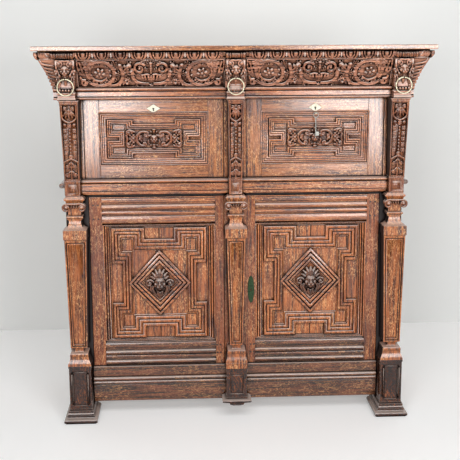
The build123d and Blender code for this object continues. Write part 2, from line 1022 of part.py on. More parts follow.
def column(axis, foot_width, head_width, block_width, head_level):
    """A tapered shaft with a sunk front panel, under a voluted capital and over a waisted base."""
    abacus_bottom = head_level - abacus_height
    volute_level = abacus_bottom - volute_radius - volute_drop
    neck_top = abacus_bottom
    astragal_bottom = neck_top - volute_zone - neck_height - astragal_height
    collar_bottom = astragal_bottom - collar_height
    bell_bottom = collar_bottom - bell_height
    block_bottom = bell_bottom - capital_block_height
    shaft_top = block_bottom - cove_height
    with BuildPart() as piece:
        for z_range, widths, fronts in (
            (
                (plinth_top, base_plate_bottom),
                (block_width, base_plate_width),
                (plinth_proud, base_plate_proud),
            ),
            (
                (base_plate_bottom, waist_bottom),
                (base_plate_width, base_plate_width),
                (base_plate_proud, base_plate_proud),
            ),
            ((waist_bottom, shaft_bottom), (waist_width, waist_width), (waist_proud, waist_proud)),
            ((shaft_bottom, shaft_top), (foot_width, head_width), (shaft_proud, shaft_proud)),
            (
                (shaft_top, block_bottom),
                (head_width, block_width),
                (shaft_proud, capital_block_proud),
            ),
            (
                (block_bottom, bell_bottom),
                (block_width, block_width),
                (capital_block_proud, capital_block_proud),
            ),
            (
                (bell_bottom, collar_bottom),
                (block_width, bell_top_width),
                (capital_block_proud, neck_proud),
            ),
            ((collar_bottom, neck_top), (neck_width, neck_width), (neck_proud, neck_proud)),
            (
                (abacus_bottom, head_level),
                (abacus_width, abacus_top_width),
                (astragal_proud, astragal_proud),
            ),
        ):
            add(tier(axis, z_range, widths, fronts, face_y))
        add(
            block(
                (axis - astragal_width / 2, axis + astragal_width / 2),
                (face_y - astragal_proud, face_y),
                (astragal_bottom, astragal_bottom + astragal_height),
            )
        )
        for volute_side in (-1, 1):
            add(
                pin(
                    (axis + volute_side * volute_spread, face_y, volute_level),
                    (0, -1, 0),
                    volute_radius,
                    volute_proud,
                )
            )
        add(
            tier(
                axis,
                (shaft_bottom + shaft_margin, shaft_top - shaft_margin),
                (foot_width - 2 * shaft_margin, head_width - 2 * shaft_margin),
                (shaft_proud, shaft_proud),
                face_y - shaft_proud + shaft_recess,
            ),
            mode=Mode.SUBTRACT,
        )
    return piece.part


def plinth(axis, width, z_range, back):
    """A plinth block."""
    with BuildPart() as piece:
        add(block((axis - width / 2, axis + width / 2), (face_y - plinth_proud, back), z_range))
    return piece.part


with BuildPart() as corner_columns:
    for side in (-1, 1):
        add(column(side * column_axis, shaft_foot_width, shaft_head_width, plinth_width, capital_head))
corner_columns.part.label = "corner_columns"
export_step(corner_columns.part, "parts/corner_columns.step")

# The centre column hangs on the right door, so it stops short of the rail above and the block below
with BuildPart() as centre_column:
    add(
        column(
            0,
            centre_shaft_foot_width,
            centre_shaft_head_width,
            centre_plinth_width,
            capital_head - leaf_gap,
        )
    )
    add(plinth(0, centre_plinth_width, (door_bottom, plinth_top), face_y))
centre_column.part.label = "centre_column"
export_step(centre_column.part, "parts/centre_column.step")

with BuildPart() as corner_plinths:
    for side in (-1, 1):
        add(plinth(side * column_axis, plinth_width, (foot_height, plinth_top), face_y))
corner_plinths.part.label = "corner_plinths"
export_step(corner_plinths.part, "parts/corner_plinths.step")

# Centre plinth: fixed to the bottom rail, over a hanging foot with a small drop
hanging_foot_top = bottom_rail_clearance - hanging_drop_below + hanging_drop_height + hanging_foot_height
hanging_foot_bottom = hanging_foot_top - hanging_foot_height
rail_bead_tip = bottom_rail_front - bottom_bead_radius
with BuildPart() as centre_plinth:
    add(plinth(0, centre_plinth_width, (hanging_foot_top, bottom_rail_top), rail_bead_tip))
    add(
        tier(
            0,
            (hanging_foot_bottom, hanging_foot_top),
            (hanging_foot_width, hanging_foot_width),
            (hanging_foot_proud, hanging_foot_proud),
            rail_bead_tip,
        )
    )
    add(
        tier(
            0,
            (hanging_foot_bottom - hanging_drop_height, hanging_foot_bottom),
            (hanging_drop_width / 2, hanging_drop_width),
            (plinth_proud, hanging_foot_proud),
            rail_bead_tip,
        )
    )
centre_plinth.part.label = "centre_plinth"
export_step(centre_plinth.part, "parts/centre_plinth.step")

# Front feet: a broad pad with a hollowed upper part
with BuildPart() as front_feet:
    for side in (-1, 1):
        add(
            tier(
                side * column_axis,
                (0, foot_pad_height),
                (foot_width, foot_width),
                (foot_proud, foot_proud),
                foot_back,
            )
        )
        add(
            tier(
                side * column_axis,
                (foot_pad_height, foot_height),
                (foot_width, foot_top_width),
                (foot_proud, foot_top_proud),
                foot_back,
            )
        )
front_feet.part.label = "front_feet"
export_step(front_feet.part, "parts/front_feet.step")


def leaf_frame(ends, field, z_range, field_z, y_range, panel_y):
    """A frame of two stiles and two rails, grooved for its panel; field is the panel's opening."""
    with BuildPart() as piece:
        add(block((ends[0], field[0] - joint_gap), y_range, z_range))
        add(block((field[1] + joint_gap, ends[1]), y_range, z_range))
        add(block(field, y_range, (z_range[0], field_z[0])))
        add(block(field, y_range, (field_z[1], z_range[1])))
        groove = panel_tongue + tongue_clearance
        add(
            block(
                (field[0] - groove, field[1] + groove),
                (panel_y[0] - tongue_clearance, panel_y[1] + tongue_clearance),
                (field_z[0] - groove, field_z[1] + groove),
            ),
            mode=Mode.SUBTRACT,
        )
    return piece.part


def leaf_panel(field, field_z, panel_y):
    """The panel of a door or a fall-front, with its edges in the frame's groove."""
    return block(
        (field[0] - panel_tongue, field[1] + panel_tongue),
        panel_y,
        (field_z[0] - panel_tongue, field_z[1] + panel_tongue),
    )


def strapwork(centre, quarter, well, cell, y_front, thick):
    """Pierced strapwork: a stepped outline round a well, with a small cell inside each lobe."""
    x, z = centre
    with BuildPart() as piece:
        add(plate(placed(mirrored_outline(quarter), x, z), y_front, thick))
        y_range = (y_front, y_front + thick)
        add(block((x - well[0], x + well[0]), y_range, (z - well[1], z + well[1])), mode=Mode.SUBTRACT)
        for side in (-1, 1):
            for level in (-1, 1):
                cell_x = (x + side * (well[0] + cell_web), x + side * (well[0] + cell_web + cell[0]))
                cell_z = (z + level * (well[1] + cell_web), z + level * (well[1] + cell_web + cell[1]))
                add(block(sorted(cell_x), y_range, sorted(cell_z)), mode=Mode.SUBTRACT)
    return piece.part


# Lower doors
door_z = (door_bottom, door_top)
door_y = (face_y, door_back)
door_field_z = (door_field_bottom, door_field_top)
door_panel_face = face_y + door_panel_recess
door_panel_y = (door_panel_face, door_panel_face + panel_thick)


def door_frame(side, inner_edge):
    """A door's frame, with its hinge arris rounded and a hole for a pin at its head and its foot."""
    ends = sorted((inner_edge, side * door_outer))
    field = sorted(sided(side, door_inner_edge_to_field, door_field_outer))
    with BuildPart() as piece:
        add(leaf_frame(ends, field, door_z, door_field_z, door_y, door_panel_y))
        arris = piece.edges().filter_by(Axis.Z).group_by(Axis.Y)[0].sort_by(Axis.X)
        fillet(arris[-1] if side > 0 else arris[0], pivot_inset)
        for level, direction in ((door_bottom, 1), (door_top, -1)):
            add(
                pin(
                    (side * door_pivot_x, door_pivot_y, level),
                    (0, 0, direction),
                    pivot_radius + pivot_clearance,
                    pivot_depth + leaf_gap,
                ),
                mode=Mode.SUBTRACT,
            )
    return piece.part


def door_carving(side):
    """The strapwork, the lozenge frame and the lion's mask on a door's panel."""
    centre = (side * door_centre, door_field_level)
    x, z = centre
    quarter = (
        (0, door_strap_reach[1]),
        (door_arm[0], door_strap_reach[1]),
        (door_arm[0], door_lobe[1]),
        door_lobe,
        (door_lobe[0], door_arm[1]),
        (door_strap_reach[0], door_arm[1]),
        (door_strap_reach[0], 0),
    )
    with BuildPart() as piece:
        with Locations((x, door_panel_face + mask_radius - mask_proud, z)):
            Sphere(mask_radius)
        add(
            block(
                (x - mask_radius, x + mask_radius),
                (door_panel_face, door_panel_face + 2 * mask_radius),
                (z - mask_radius, z + mask_radius),
            ),
            mode=Mode.SUBTRACT,
        )
        add(
            plate(
                placed(lozenge_outline(*lozenge_half), x, z),
                door_panel_face - lozenge_thick,
                lozenge_thick,
                hole=placed(lozenge_outline(lozenge_field_half, lozenge_field_half), x, z),
            )
        )
        strap_face = door_panel_face - door_strap_thick
        add(strapwork(centre, quarter, door_well, door_cell, strap_face, door_strap_thick))
    return piece.part


with BuildPart() as left_door_frame:
    add(door_frame(-1, meeting_x - leaf_gap / 2))
left_door_frame.part.label = "left_door_frame"
export_step(left_door_frame.part, "parts/left_door_frame.step")

with BuildPart() as right_door_frame:
    add(door_frame(1, meeting_x + leaf_gap / 2))
right_door_frame.part.label = "right_door_frame"
export_step(right_door_frame.part, "parts/right_door_frame.step")

with BuildPart() as left_door_panel:
    add(leaf_panel((-door_field_outer, -door_inner_edge_to_field), door_field_z, door_panel_y))
left_door_panel.part.label = "left_door_panel"
export_step(left_door_panel.part, "parts/left_door_panel.step")

with BuildPart() as right_door_panel:
    add(leaf_panel((door_inner_edge_to_field, door_field_outer), door_field_z, door_panel_y))
right_door_panel.part.label = "right_door_panel"
export_step(right_door_panel.part, "parts/right_door_panel.step")

with BuildPart() as left_door_carving:
    add(door_carving(-1))
left_door_carving.part.label = "left_door_carving"
export_step(left_door_carving.part, "parts/left_door_carving.step")

with BuildPart() as right_door_carving:
    add(door_carving(1))
right_door_carving.part.label = "right_door_carving"
export_step(right_door_carving.part, "parts/right_door_carving.step")

# Fall-fronts
flap_z = (flap_bottom, flap_top)
flap_y = (flap_face, flap_back)
flap_field_z = (flap_field_bottom, flap_field_top)
flap_panel_face = flap_face + flap_panel_recess
flap_panel_y = (flap_panel_face, flap_panel_face + panel_thick)
flap_field = (flap_inner + flap_stile, flap_outer - flap_stile)


def flap_frame(side):
    """A fall-front's frame, with its bottom arris rounded and a hole for a pin at each end."""
    ends = sorted(sided(side, flap_inner, flap_outer))
    field = sorted(sided(side, flap_field[0], flap_field[1]))
    with BuildPart() as piece:
        add(leaf_frame(ends, field, flap_z, flap_field_z, flap_y, flap_panel_y))
        arris = piece.edges().filter_by(Axis.X).group_by(Axis.Z)[0].group_by(Axis.Y)[0]
        fillet(arris, pivot_inset)
        for end, direction in ((flap_inner, side), (flap_outer, -side)):
            add(
                pin(
                    (side * end, flap_pivot_y, flap_pivot_z),
                    (direction, 0, 0),
                    pivot_radius + pivot_clearance,
                    pivot_depth + leaf_gap,
                ),
                mode=Mode.SUBTRACT,
            )
    return piece.part


def flap_carving(side):
    """The sunk frame, the strapwork and the cartouche on a fall-front's panel."""
    centre = (side * flap_centre, flap_field_level)
    x, z = centre
    half_x = (flap_field[1] - flap_field[0]) / 2
    half_z = (flap_field_top - flap_field_bottom) / 2
    quarter = (
        (0, flap_strap_reach),
        (flap_arm, flap_strap_reach),
        (flap_arm, flap_lobe[1]),
        flap_lobe,
        (flap_lobe[0], flap_notch[1]),
        (flap_lobe[0] - flap_notch[0], flap_notch[1]),
        (flap_lobe[0] - flap_notch[0], 0),
    )
    with BuildPart() as piece:
        add(
            block(
                (x - cartouche_half[0], x + cartouche_half[0]),
                (flap_panel_face - cartouche_thick, flap_panel_face),
                (z - cartouche_half[1], z + cartouche_half[1]),
            )
        )
        fillet(piece.edges().group_by(Axis.Y)[0], cartouche_round)
        strap_face = flap_panel_face - flap_strap_thick
        add(strapwork(centre, quarter, flap_well, flap_cell, strap_face, flap_strap_thick))
        add(
            plate(
                placed(rectangle_outline(half_x, half_z), x, z),
                flap_face,
                flap_panel_recess,
                hole=placed(rectangle_outline(half_x - sunk_frame_width, half_z - sunk_frame_width), x, z),
            )
        )
    return piece.part


with BuildPart() as left_flap_frame:
    add(flap_frame(-1))
left_flap_frame.part.label = "left_flap_frame"
export_step(left_flap_frame.part, "parts/left_flap_frame.step")

with BuildPart() as right_flap_frame:
    add(flap_frame(1))
right_flap_frame.part.label = "right_flap_frame"
export_step(right_flap_frame.part, "parts/right_flap_frame.step")

with BuildPart() as left_flap_panel:
    add(leaf_panel((-flap_field[1], -flap_field[0]), flap_field_z, flap_panel_y))
left_flap_panel.part.label = "left_flap_panel"
export_step(left_flap_panel.part, "parts/left_flap_panel.step")

with BuildPart() as right_flap_panel:
    add(leaf_panel(flap_field, flap_field_z, flap_panel_y))
right_flap_panel.part.label = "right_flap_panel"
export_step(right_flap_panel.part, "parts/right_flap_panel.step")

with BuildPart() as left_flap_carving:
    add(flap_carving(-1))
left_flap_carving.part.label = "left_flap_carving"
export_step(left_flap_carving.part, "parts/left_flap_carving.step")

with BuildPart() as right_flap_carving:
    add(flap_carving(1))
right_flap_carving.part.label = "right_flap_carving"
export_step(right_flap_carving.part, "parts/right_flap_carving.step")

# Iron pins that the doors and the fall-fronts turn on, each seated in the fixed frame
pin_reach = pivot_depth - joint_gap
with BuildPart() as pivot_pins:
    for side in (-1, 1):
        for level, direction in ((mid_rail_bottom, -1), (bottom_rail_top, 1)):
            add(
                pin(
                    (side * door_pivot_x, door_pivot_y, level - direction * pin_reach),
                    (0, 0, direction),
                    pivot_radius,
                    pin_reach + leaf_gap + pivot_depth,
                )
            )
        for end, direction in ((stile_half, side), (upper_opening_half, -side)):
            add(
                pin(
                    (side * end - direction * pin_reach, flap_pivot_y, flap_pivot_z),
                    (direction, 0, 0),
                    pivot_radius,
                    pin_reach + leaf_gap + pivot_depth,
                )
            )
pivot_pins.part.label = "pivot_pins"
export_step(pivot_pins.part, "parts/pivot_pins.step")


def keyhole(x, y_range, z):
    """A keyhole to cut: a round hole over a slot."""
    with BuildPart() as piece:
        add(pin((x, y_range[0], z), (0, 1, 0), keyhole_radius, y_range[1] - y_range[0]))
        add(block((x - keyhole_radius / 2, x + keyhole_radius / 2), y_range, (z - 3 * keyhole_radius, z)))
    return piece.part


# Rim lock on the back of the right door, with its tall escutcheon on the front
lock_inner = meeting_x + leaf_gap / 2 + lock_edge_margin
lock_z = (lock_level - lock_size[1] / 2, lock_level + lock_size[1] / 2)
lock_y = (door_back, door_back + lock_thick)
door_bolt_x = (lock_inner - lock_bolt_projection, lock_inner - lock_bolt_projection + lock_bolt_size[0])
door_bolt_y = (door_back + bolt_setback, door_back + bolt_setback + lock_bolt_size[1])
door_bolt_z = (lock_level - lock_bolt_size[2] / 2, lock_level + lock_bolt_size[2] / 2)
with BuildPart() as right_door_lock:
    add(block((lock_inner, lock_inner + lock_size[0]), lock_y, lock_z))
    add(
        block(
            (lock_inner, door_bolt_x[1] + bolt_clearance),
            (door_bolt_y[0] - bolt_clearance, door_bolt_y[1] + bolt_clearance),
            (door_bolt_z[0] - bolt_clearance, door_bolt_z[1] + bolt_clearance),
        ),
        mode=Mode.SUBTRACT,
    )
    with BuildSketch(
        Plane(origin=(lock_x, face_y, lock_level), x_dir=(1, 0, 0), z_dir=(0, -1, 0))
    ):
        Ellipse(door_escutcheon_size[0] / 2, door_escutcheon_size[1] / 2)
    extrude(amount=escutcheon_thick)
    add(keyhole(lock_x, (face_y - escutcheon_thick, face_y), lock_level), mode=Mode.SUBTRACT)
right_door_lock.part.label = "right_door_lock"
export_step(right_door_lock.part, "parts/right_door_lock.step")

with BuildPart() as right_door_bolt:
    add(block(door_bolt_x, door_bolt_y, door_bolt_z))
right_door_bolt.part.label = "right_door_bolt"
export_step(right_door_bolt.part, "parts/right_door_bolt.step")

# Upright bolt on the back of the left door, in two staples on a plate
barrel_half = barrel_bolt_size[0] / 2
barrel_y = (
    door_back + bolt_plate_thick + bolt_clearance,
    door_back + bolt_plate_thick + bolt_clearance + barrel_bolt_size[1],
)
barrel_top = mid_rail_bottom - stop_drop - leaf_gap
bolt_plate_top = barrel_top - bolt_plate_drop
with BuildPart() as left_door_bolt_plate:
    add(
        block(
            (barrel_x - bolt_plate_width / 2, barrel_x + bolt_plate_width / 2),
            (door_back, door_back + bolt_plate_thick),
            (bolt_plate_top - bolt_plate_length, bolt_plate_top),
        )
    )
    for staple_bottom in (
        bolt_plate_top - 2 * staple_height,
        bolt_plate_top - bolt_plate_length + staple_height,
    ):
        staple_z = (staple_bottom, staple_bottom + staple_height)
        add(
            block(
                (barrel_x - barrel_half - staple_wall, barrel_x + barrel_half + staple_wall),
                (door_back + bolt_plate_thick, barrel_y[1] + staple_wall),
                staple_z,
            )
        )
        add(
            block(
                (barrel_x - barrel_half - bolt_clearance, barrel_x + barrel_half + bolt_clearance),
                (door_back + bolt_plate_thick, barrel_y[1] + bolt_clearance),
                staple_z,
            ),
            mode=Mode.SUBTRACT,
        )
left_door_bolt_plate.part.label = "left_door_bolt_plate"
export_step(left_door_bolt_plate.part, "parts/left_door_bolt_plate.step")

with BuildPart() as left_door_bolt:
    add(
        block(
            (barrel_x - barrel_half, barrel_x + barrel_half),
            barrel_y,
            (barrel_top - barrel_bolt_size[2], barrel_top),
        )
    )
    knob_level = bolt_plate_top - bolt_plate_length / 2
    add(pin((barrel_x, barrel_y[1], knob_level), (0, 1, 0), pivot_radius, barrel_bolt_size[0]))
left_door_bolt.part.label = "left_door_bolt"
export_step(left_door_bolt.part, "parts/left_door_bolt.step")

# Fall-front locks
flap_lock_top = frieze_rail_bottom - stop_drop - 2 * leaf_gap
flap_bolt_top = flap_lock_top + leaf_gap
flap_lock_y = (flap_back, flap_back + lock_thick)
flap_bolt_y = (flap_back + bolt_setback, flap_back + bolt_setback + flap_bolt_size[1])
flap_key_level = flap_lock_top - flap_lock_size[1] / 2 + flap_escutcheon_lift
hook_level = flap_key_level - key_drop
key_y = flap_face - key_stand_off


def flap_lock(side):
    """A rim lock on a fall-front's back, with its bolt's channel, and a lozenge escutcheon on the front."""
    x = side * flap_centre
    with BuildPart() as piece:
        add(
            block(
                (x - flap_lock_size[0] / 2, x + flap_lock_size[0] / 2),
                flap_lock_y,
                (flap_lock_top - flap_lock_size[1], flap_lock_top),
            )
        )
        add(
            block(
                (x - flap_bolt_size[0] / 2 - bolt_clearance, x + flap_bolt_size[0] / 2 + bolt_clearance),
                (flap_bolt_y[0] - bolt_clearance, flap_bolt_y[1] + bolt_clearance),
                (flap_bolt_top - flap_bolt_size[2] - bolt_clearance, flap_lock_top),
            ),
            mode=Mode.SUBTRACT,
        )
        lozenge = lozenge_outline(flap_escutcheon_size[0] / 2, flap_escutcheon_size[1] / 2)
        add(plate(placed(lozenge, x, flap_key_level), flap_face - escutcheon_thick, escutcheon_thick))
        add(keyhole(x, (flap_face - escutcheon_thick, flap_face), flap_key_level), mode=Mode.SUBTRACT)
    return piece.part


def flap_bolt(side):
    """The bolt of a fall-front's lock, which slides up behind the frieze rail."""
    x = side * flap_centre
    half = flap_bolt_size[0] / 2
    return block((x - half, x + half), flap_bolt_y, (flap_bolt_top - flap_bolt_size[2], flap_bolt_top))


with BuildPart() as left_flap_lock:
    add(flap_lock(-1))
left_flap_lock.part.label = "left_flap_lock"
export_step(left_flap_lock.part, "parts/left_flap_lock.step")

# The right fall-front also has a small pin under its keyhole, on which the key hangs
with BuildPart() as right_flap_lock:
    add(flap_lock(1))
    add(pin((flap_centre, flap_face, hook_level), (0, -1, 0), key_hook_radius, key_hook_length))
    add(
        pin(
            (flap_centre, flap_face - key_hook_length, hook_level),
            (0, -1, 0),
            2 * key_hook_radius,
            key_hook_radius,
        )
    )
right_flap_lock.part.label = "right_flap_lock"
export_step(right_flap_lock.part, "parts/right_flap_lock.step")

with BuildPart() as left_flap_bolt:
    add(flap_bolt(-1))
left_flap_bolt.part.label = "left_flap_bolt"
export_step(left_flap_bolt.part, "parts/left_flap_bolt.step")

with BuildPart() as right_flap_bolt:
    add(flap_bolt(1))
right_flap_bolt.part.label = "right_flap_bolt"
export_step(right_flap_bolt.part, "parts/right_flap_bolt.step")

# Key: a round bow, a shank and a bit
bow_level = hook_level + key_hook_radius + key_play - (key_bow_radius - key_wire / 2)
shank_top = bow_level - key_bow_radius
key_tip = shank_top - key_length
with BuildPart() as key:
    with BuildSketch(Plane(origin=(flap_centre + key_bow_radius, key_y, bow_level))):
        Circle(key_wire / 2)
    revolve(axis=Axis((flap_centre, key_y, bow_level), (0, 1, 0)), revolution_arc=360)
    add(pin((flap_centre, key_y, shank_top), (0, 0, -1), key_shank_radius, key_length))
    add(
        block(
            (flap_centre, flap_centre + key_bit[0]),
            (key_y - key_wire / 2, key_y + key_wire / 2),
            (key_tip + key_shank_radius, key_tip + key_shank_radius + key_bit[1]),
        )
    )
key.part.label = "key"
export_step(key.part, "parts/key.step")


def canted_y(level):
    """The Y of the frieze's canted face at one level."""
    return frieze_foot_y - frieze_flare * (level - frieze_rail_top) / (cornice_bottom - frieze_rail_top)


def drawer_front(side):
    """A canted drawer front, level with the frieze."""
    with BuildPart() as piece:
        with BuildSketch(Plane.YZ.offset(min(sided(side, drawer_inner, drawer_outer)))):
            with BuildLine():
                Polyline(
                    (canted_y(drawer_bottom), drawer_bottom),
                    (canted_y(drawer_top), drawer_top),
                    (canted_y(drawer_top) + drawer_front_thick, drawer_top),
                    (canted_y(drawer_bottom) + drawer_front_thick, drawer_bottom),
                    close=True,
                )
            make_face()
        extrude(amount=drawer_outer - drawer_inner)
    return piece.part


box_bottom = frieze_rail_top + runner_gap
box_top = box_bottom + drawer_box_height
box_back = board_back - leaf_gap
floor_level = box_bottom + drawer_bottom_lift


def drawer_box(side):
    """A drawer's two sides, back and bottom, behind its canted front."""
    front_gap = drawer_front_thick + joint_gap
    with BuildPart() as piece:
        for edge in (box_inner, box_outer - drawer_wall):
            with BuildSketch(Plane.YZ.offset(min(sided(side, edge, edge + drawer_wall)))):
                with BuildLine():
                    Polyline(
                        (canted_y(box_bottom) + front_gap, box_bottom),
                        (canted_y(box_top) + front_gap, box_top),
                        (box_back, box_top),
                        (box_back, box_bottom),
                        close=True,
                    )
                make_face()
            extrude(amount=drawer_wall)
        inner = box_inner + drawer_wall + joint_gap
        outer = box_outer - drawer_wall - joint_gap
        add(block(sided(side, inner, outer), (box_back - drawer_wall, box_back), (floor_level, box_top)))
        add(
            block(
                sided(side, inner, outer),
                (canted_y(floor_level) + front_gap, box_back - drawer_wall - joint_gap),
                (floor_level, floor_level + drawer_bottom_thick),
            )
        )
    return piece.part


with BuildPart() as left_drawer_front:
    add(drawer_front(-1))
left_drawer_front.part.label = "left_drawer_front"
export_step(left_drawer_front.part, "parts/left_drawer_front.step")

with BuildPart() as right_drawer_front:
    add(drawer_front(1))
right_drawer_front.part.label = "right_drawer_front"
export_step(right_drawer_front.part, "parts/right_drawer_front.step")

with BuildPart() as left_drawer_box:
    add(drawer_box(-1))
left_drawer_box.part.label = "left_drawer_box"
export_step(left_drawer_box.part, "parts/left_drawer_box.step")

with BuildPart() as right_drawer_box:
    add(drawer_box(1))
right_drawer_box.part.label = "right_drawer_box"
export_step(right_drawer_box.part, "parts/right_drawer_box.step")
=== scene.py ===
import math

import bmesh
import bpy
from mathutils import Matrix, Vector


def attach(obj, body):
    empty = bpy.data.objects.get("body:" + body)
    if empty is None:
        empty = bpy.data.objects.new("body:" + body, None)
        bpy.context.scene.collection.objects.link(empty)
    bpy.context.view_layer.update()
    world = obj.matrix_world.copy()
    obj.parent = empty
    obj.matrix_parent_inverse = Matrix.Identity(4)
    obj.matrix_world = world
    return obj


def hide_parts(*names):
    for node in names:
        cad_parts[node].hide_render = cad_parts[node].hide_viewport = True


bl_info = {
    "name": "Carved court cupboard",
    "version": (1, 0, 0),
    "blender": (4, 5, 0),
    "location": "View3D > Sidebar > Cupboard",
    "description": "Dresses the cupboard's joined frame with its mouldings, carving, brass and waxed oak",
    "category": "Object",
}

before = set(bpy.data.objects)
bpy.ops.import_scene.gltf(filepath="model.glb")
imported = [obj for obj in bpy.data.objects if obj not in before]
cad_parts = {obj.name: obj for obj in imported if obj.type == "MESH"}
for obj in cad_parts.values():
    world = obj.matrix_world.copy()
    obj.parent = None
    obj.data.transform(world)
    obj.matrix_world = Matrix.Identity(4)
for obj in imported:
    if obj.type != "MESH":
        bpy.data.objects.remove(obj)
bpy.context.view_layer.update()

MM = 0.001

# Planes and levels of the joined frame, in millimetres. X runs right, Y back and Z up.
FACE = -160
BACK = 285
BODY_HALF = 702
DOOR_FIELD = ((85, 555), (333, 836))
FLAP_FIELD = ((111, 554), (1087, 1302))
COLUMN_AXIS = 661
PILASTER_AXIS = 666
BRACKET_AXIS = 674
FRIEZE_FOOT = (-195, 1404)
FRIEZE_HEAD = (-252, 1519)
FLAP_GROUND = -147      # the panel's face, that the strapwork is laid on
DOOR_GROUND = -150
FLAP_BOLT = ((316.5, 348.5), (-128, -120))      # what a bolt's mortise takes, across and back
DOOR_BOLT = ((-78, -64), (-130.5, -120))


def linear(code):
    """A colour written as sRGB hex, turned to linear light."""
    parts = [int(code[i : i + 2], 16) / 255 for i in (0, 2, 4)]
    return [c / 12.92 if c <= 0.04045 else ((c + 0.055) / 1.055) ** 2.4 for c in parts]


def colour_property(name, description, code):
    """A colour that a user can change."""
    return bpy.props.FloatVectorProperty(
        name=name, description=description, subtype="COLOR", min=0, max=1, default=linear(code)
    )


def length_property(name, description, millimetres):
    """A length that a user can change."""
    return bpy.props.FloatProperty(
        name=name, description=description, unit="LENGTH", min=0.0001, default=millimetres * MM
    )


class CupboardColours(bpy.types.PropertyGroup):
    """The finishes of the cupboard"""

    oak_light: colour_property("Oak, light", "Ray flecks and the worn arrises", "DDA068")
    oak_mid: colour_property("Oak, middle", "The body of the waxed oak", "AA5E2E")
    oak_dark: colour_property("Oak, dark", "Late wood, pores and old polish", "431D11")
    carved_mid: colour_property("Carved oak", "Capitals, pilasters and cartouches", "8A4C2C")
    frieze_mid: colour_property("Frieze oak", "The darker carved frieze", "BC7E62")
    plinth_mid: colour_property("Plinth oak", "The plinths, handled and mopped nearly black", "2E1712")
    # Painted highlight as well as wear: this colour lightens the arrises and every upward face.
    rubbed: colour_property(
        "Rubbed oak", "Arrises and upward faces, where the polish has worn pale", "EAD6CA",
    )
    # Painted shade as well as old wax: this colour darkens the hollows, and is the dark tone of several
    # finishes.
    old_wax_and_shade: colour_property("Old wax", "What has gathered in the carving", "0D0504")
    bare_light: colour_property("Bare oak, light", "Flecks on the unpolished boards", "B08C66")
    bare_mid: colour_property("Bare oak", "Unpolished boards inside and behind", "94714E")
    brass: colour_property("Brass", "Rings and the fall-fronts' escutcheons", "D2CAB0")
    bronze: colour_property("Green bronze", "The door's escutcheon", "34452F")
    iron: colour_property("Iron", "Bolts, plates and pins", "35312E")
    steel: colour_property("Steel", "The key", "9C9A94")
    floor: colour_property("Floor", "The painted floor of the room", "EDEDEC")
    wall: colour_property("Wall", "The painted wall of the room", "D9DAD8")


class CupboardSizes(bpy.types.PropertyGroup):
    """The ornament's sizes"""

    dart_spacing: length_property("Dart spacing", "From one dart of the cornice to the next", 72.7)
    carving_grain: length_property("Carving detail", "The finest cut in the carved work", 1.5)
    small_carving_grain: length_property("Small carving detail", "The finest cut in the small masks", 0.9)
    arris: length_property("Arris", "How far the joiner's edges are eased", 1.2)


FINISHES = {}      # every material, under the key that a piece asks for


def colours():
    """The finishes as they are set now."""
    return bpy.context.scene.cupboard_colours


def sizes():
    """The ornament's sizes as they are set now."""
    return bpy.context.scene.cupboard_sizes


# Modelling: an object is held, put in edit mode, and its faces or edges are picked by place


def let_go():
    """Leave edit mode and hold nothing."""
    if bpy.context.object and bpy.context.object.mode != "OBJECT":
        bpy.ops.object.mode_set(mode="OBJECT")
    bpy.ops.object.select_all(action="DESELECT")


def hold(piece):
    """Hold one object alone."""
    let_go()
    piece.select_set(True)
    bpy.context.view_layer.objects.active = piece
    return piece


def edit(piece, kind="FACE"):
    """Open one object in edit mode, to pick faces or edges."""
    hold(piece)
    bpy.ops.object.mode_set(mode="EDIT")
    bpy.ops.mesh.select_mode(type=kind)
    bpy.ops.mesh.select_all(action="DESELECT")


def pick(piece, test, kind="faces"):
    """In edit mode, pick just the faces, edges or vertices that pass a test."""
    bpy.ops.mesh.select_all(action="DESELECT")
    mesh = bmesh.from_edit_mesh(piece.data)
    for part in getattr(mesh, kind):
        if test(part):
            part.select_set(True)
    mesh.select_flush_mode()
    bmesh.update_edit_mesh(piece.data)


def midpoint(part):
    """The middle of a face or an edge, in millimetres."""
    return sum((v.co for v in part.verts), Vector()) / len(part.verts) / MM


def settle(piece):
    """Put an object's place, turn and size into its mesh."""
    hold(piece)
    bpy.ops.object.transform_apply(location=True, rotation=True, scale=True)
    return piece


def named(piece, name, finish, angle=50):
    """Name an object, finish it, and shade it smooth up to an angle, with its broad faces kept flat."""
    hold(piece)
    bpy.ops.object.shade_smooth_by_angle(angle=math.radians(angle))
    if angle < 180:
        flats = piece.modifiers.new("Flats", "WEIGHTED_NORMAL")
        flats.keep_sharp = True
        bpy.ops.object.modifier_apply(modifier=flats.name)
    piece.name = name
    piece.data.name = name
    piece.data.materials.clear()
    piece.data.materials.append(FINISHES[finish])
    return piece


def closed(piece, name, finish):
    """Turn every face of a piece in edit mode outwards, close it up and name it."""
    bpy.ops.mesh.select_all(action="SELECT")
    bpy.ops.mesh.normals_make_consistent(inside=False)
    bpy.ops.object.mode_set(mode="OBJECT")
    return named(piece, name, finish)


def new_object(name, data):
    """A new object of the scene, made from its mesh, lamp or camera."""
    made = bpy.data.objects.new(name, data)
    bpy.context.scene.collection.objects.link(made)
    return made


def sided(side, low, high, centre=0):
    """Two limits on one side of a centre, the lower one first: side is -1 or 1."""
    return sorted((centre + side * low, centre + side * high))


def board(name, finish, x, y, z, arris=None):
    """A planed board between three pairs of limits in millimetres, its arrises eased."""
    let_go()
    centre = [sum(pair) / 2 * MM for pair in (x, y, z)]
    size = [abs(pair[1] - pair[0]) * MM for pair in (x, y, z)]
    bpy.ops.mesh.primitive_cube_add(size=1, location=centre, scale=size)
    piece = settle(bpy.context.object)
    edit(piece, "EDGE")
    bpy.ops.mesh.select_all(action="SELECT")
    width = sizes().arris if arris is None else arris * MM
    bpy.ops.mesh.bevel(offset=width, segments=2, affect="EDGES", clamp_overlap=True)
    bpy.ops.object.mode_set(mode="OBJECT")
    return named(piece, name, finish)


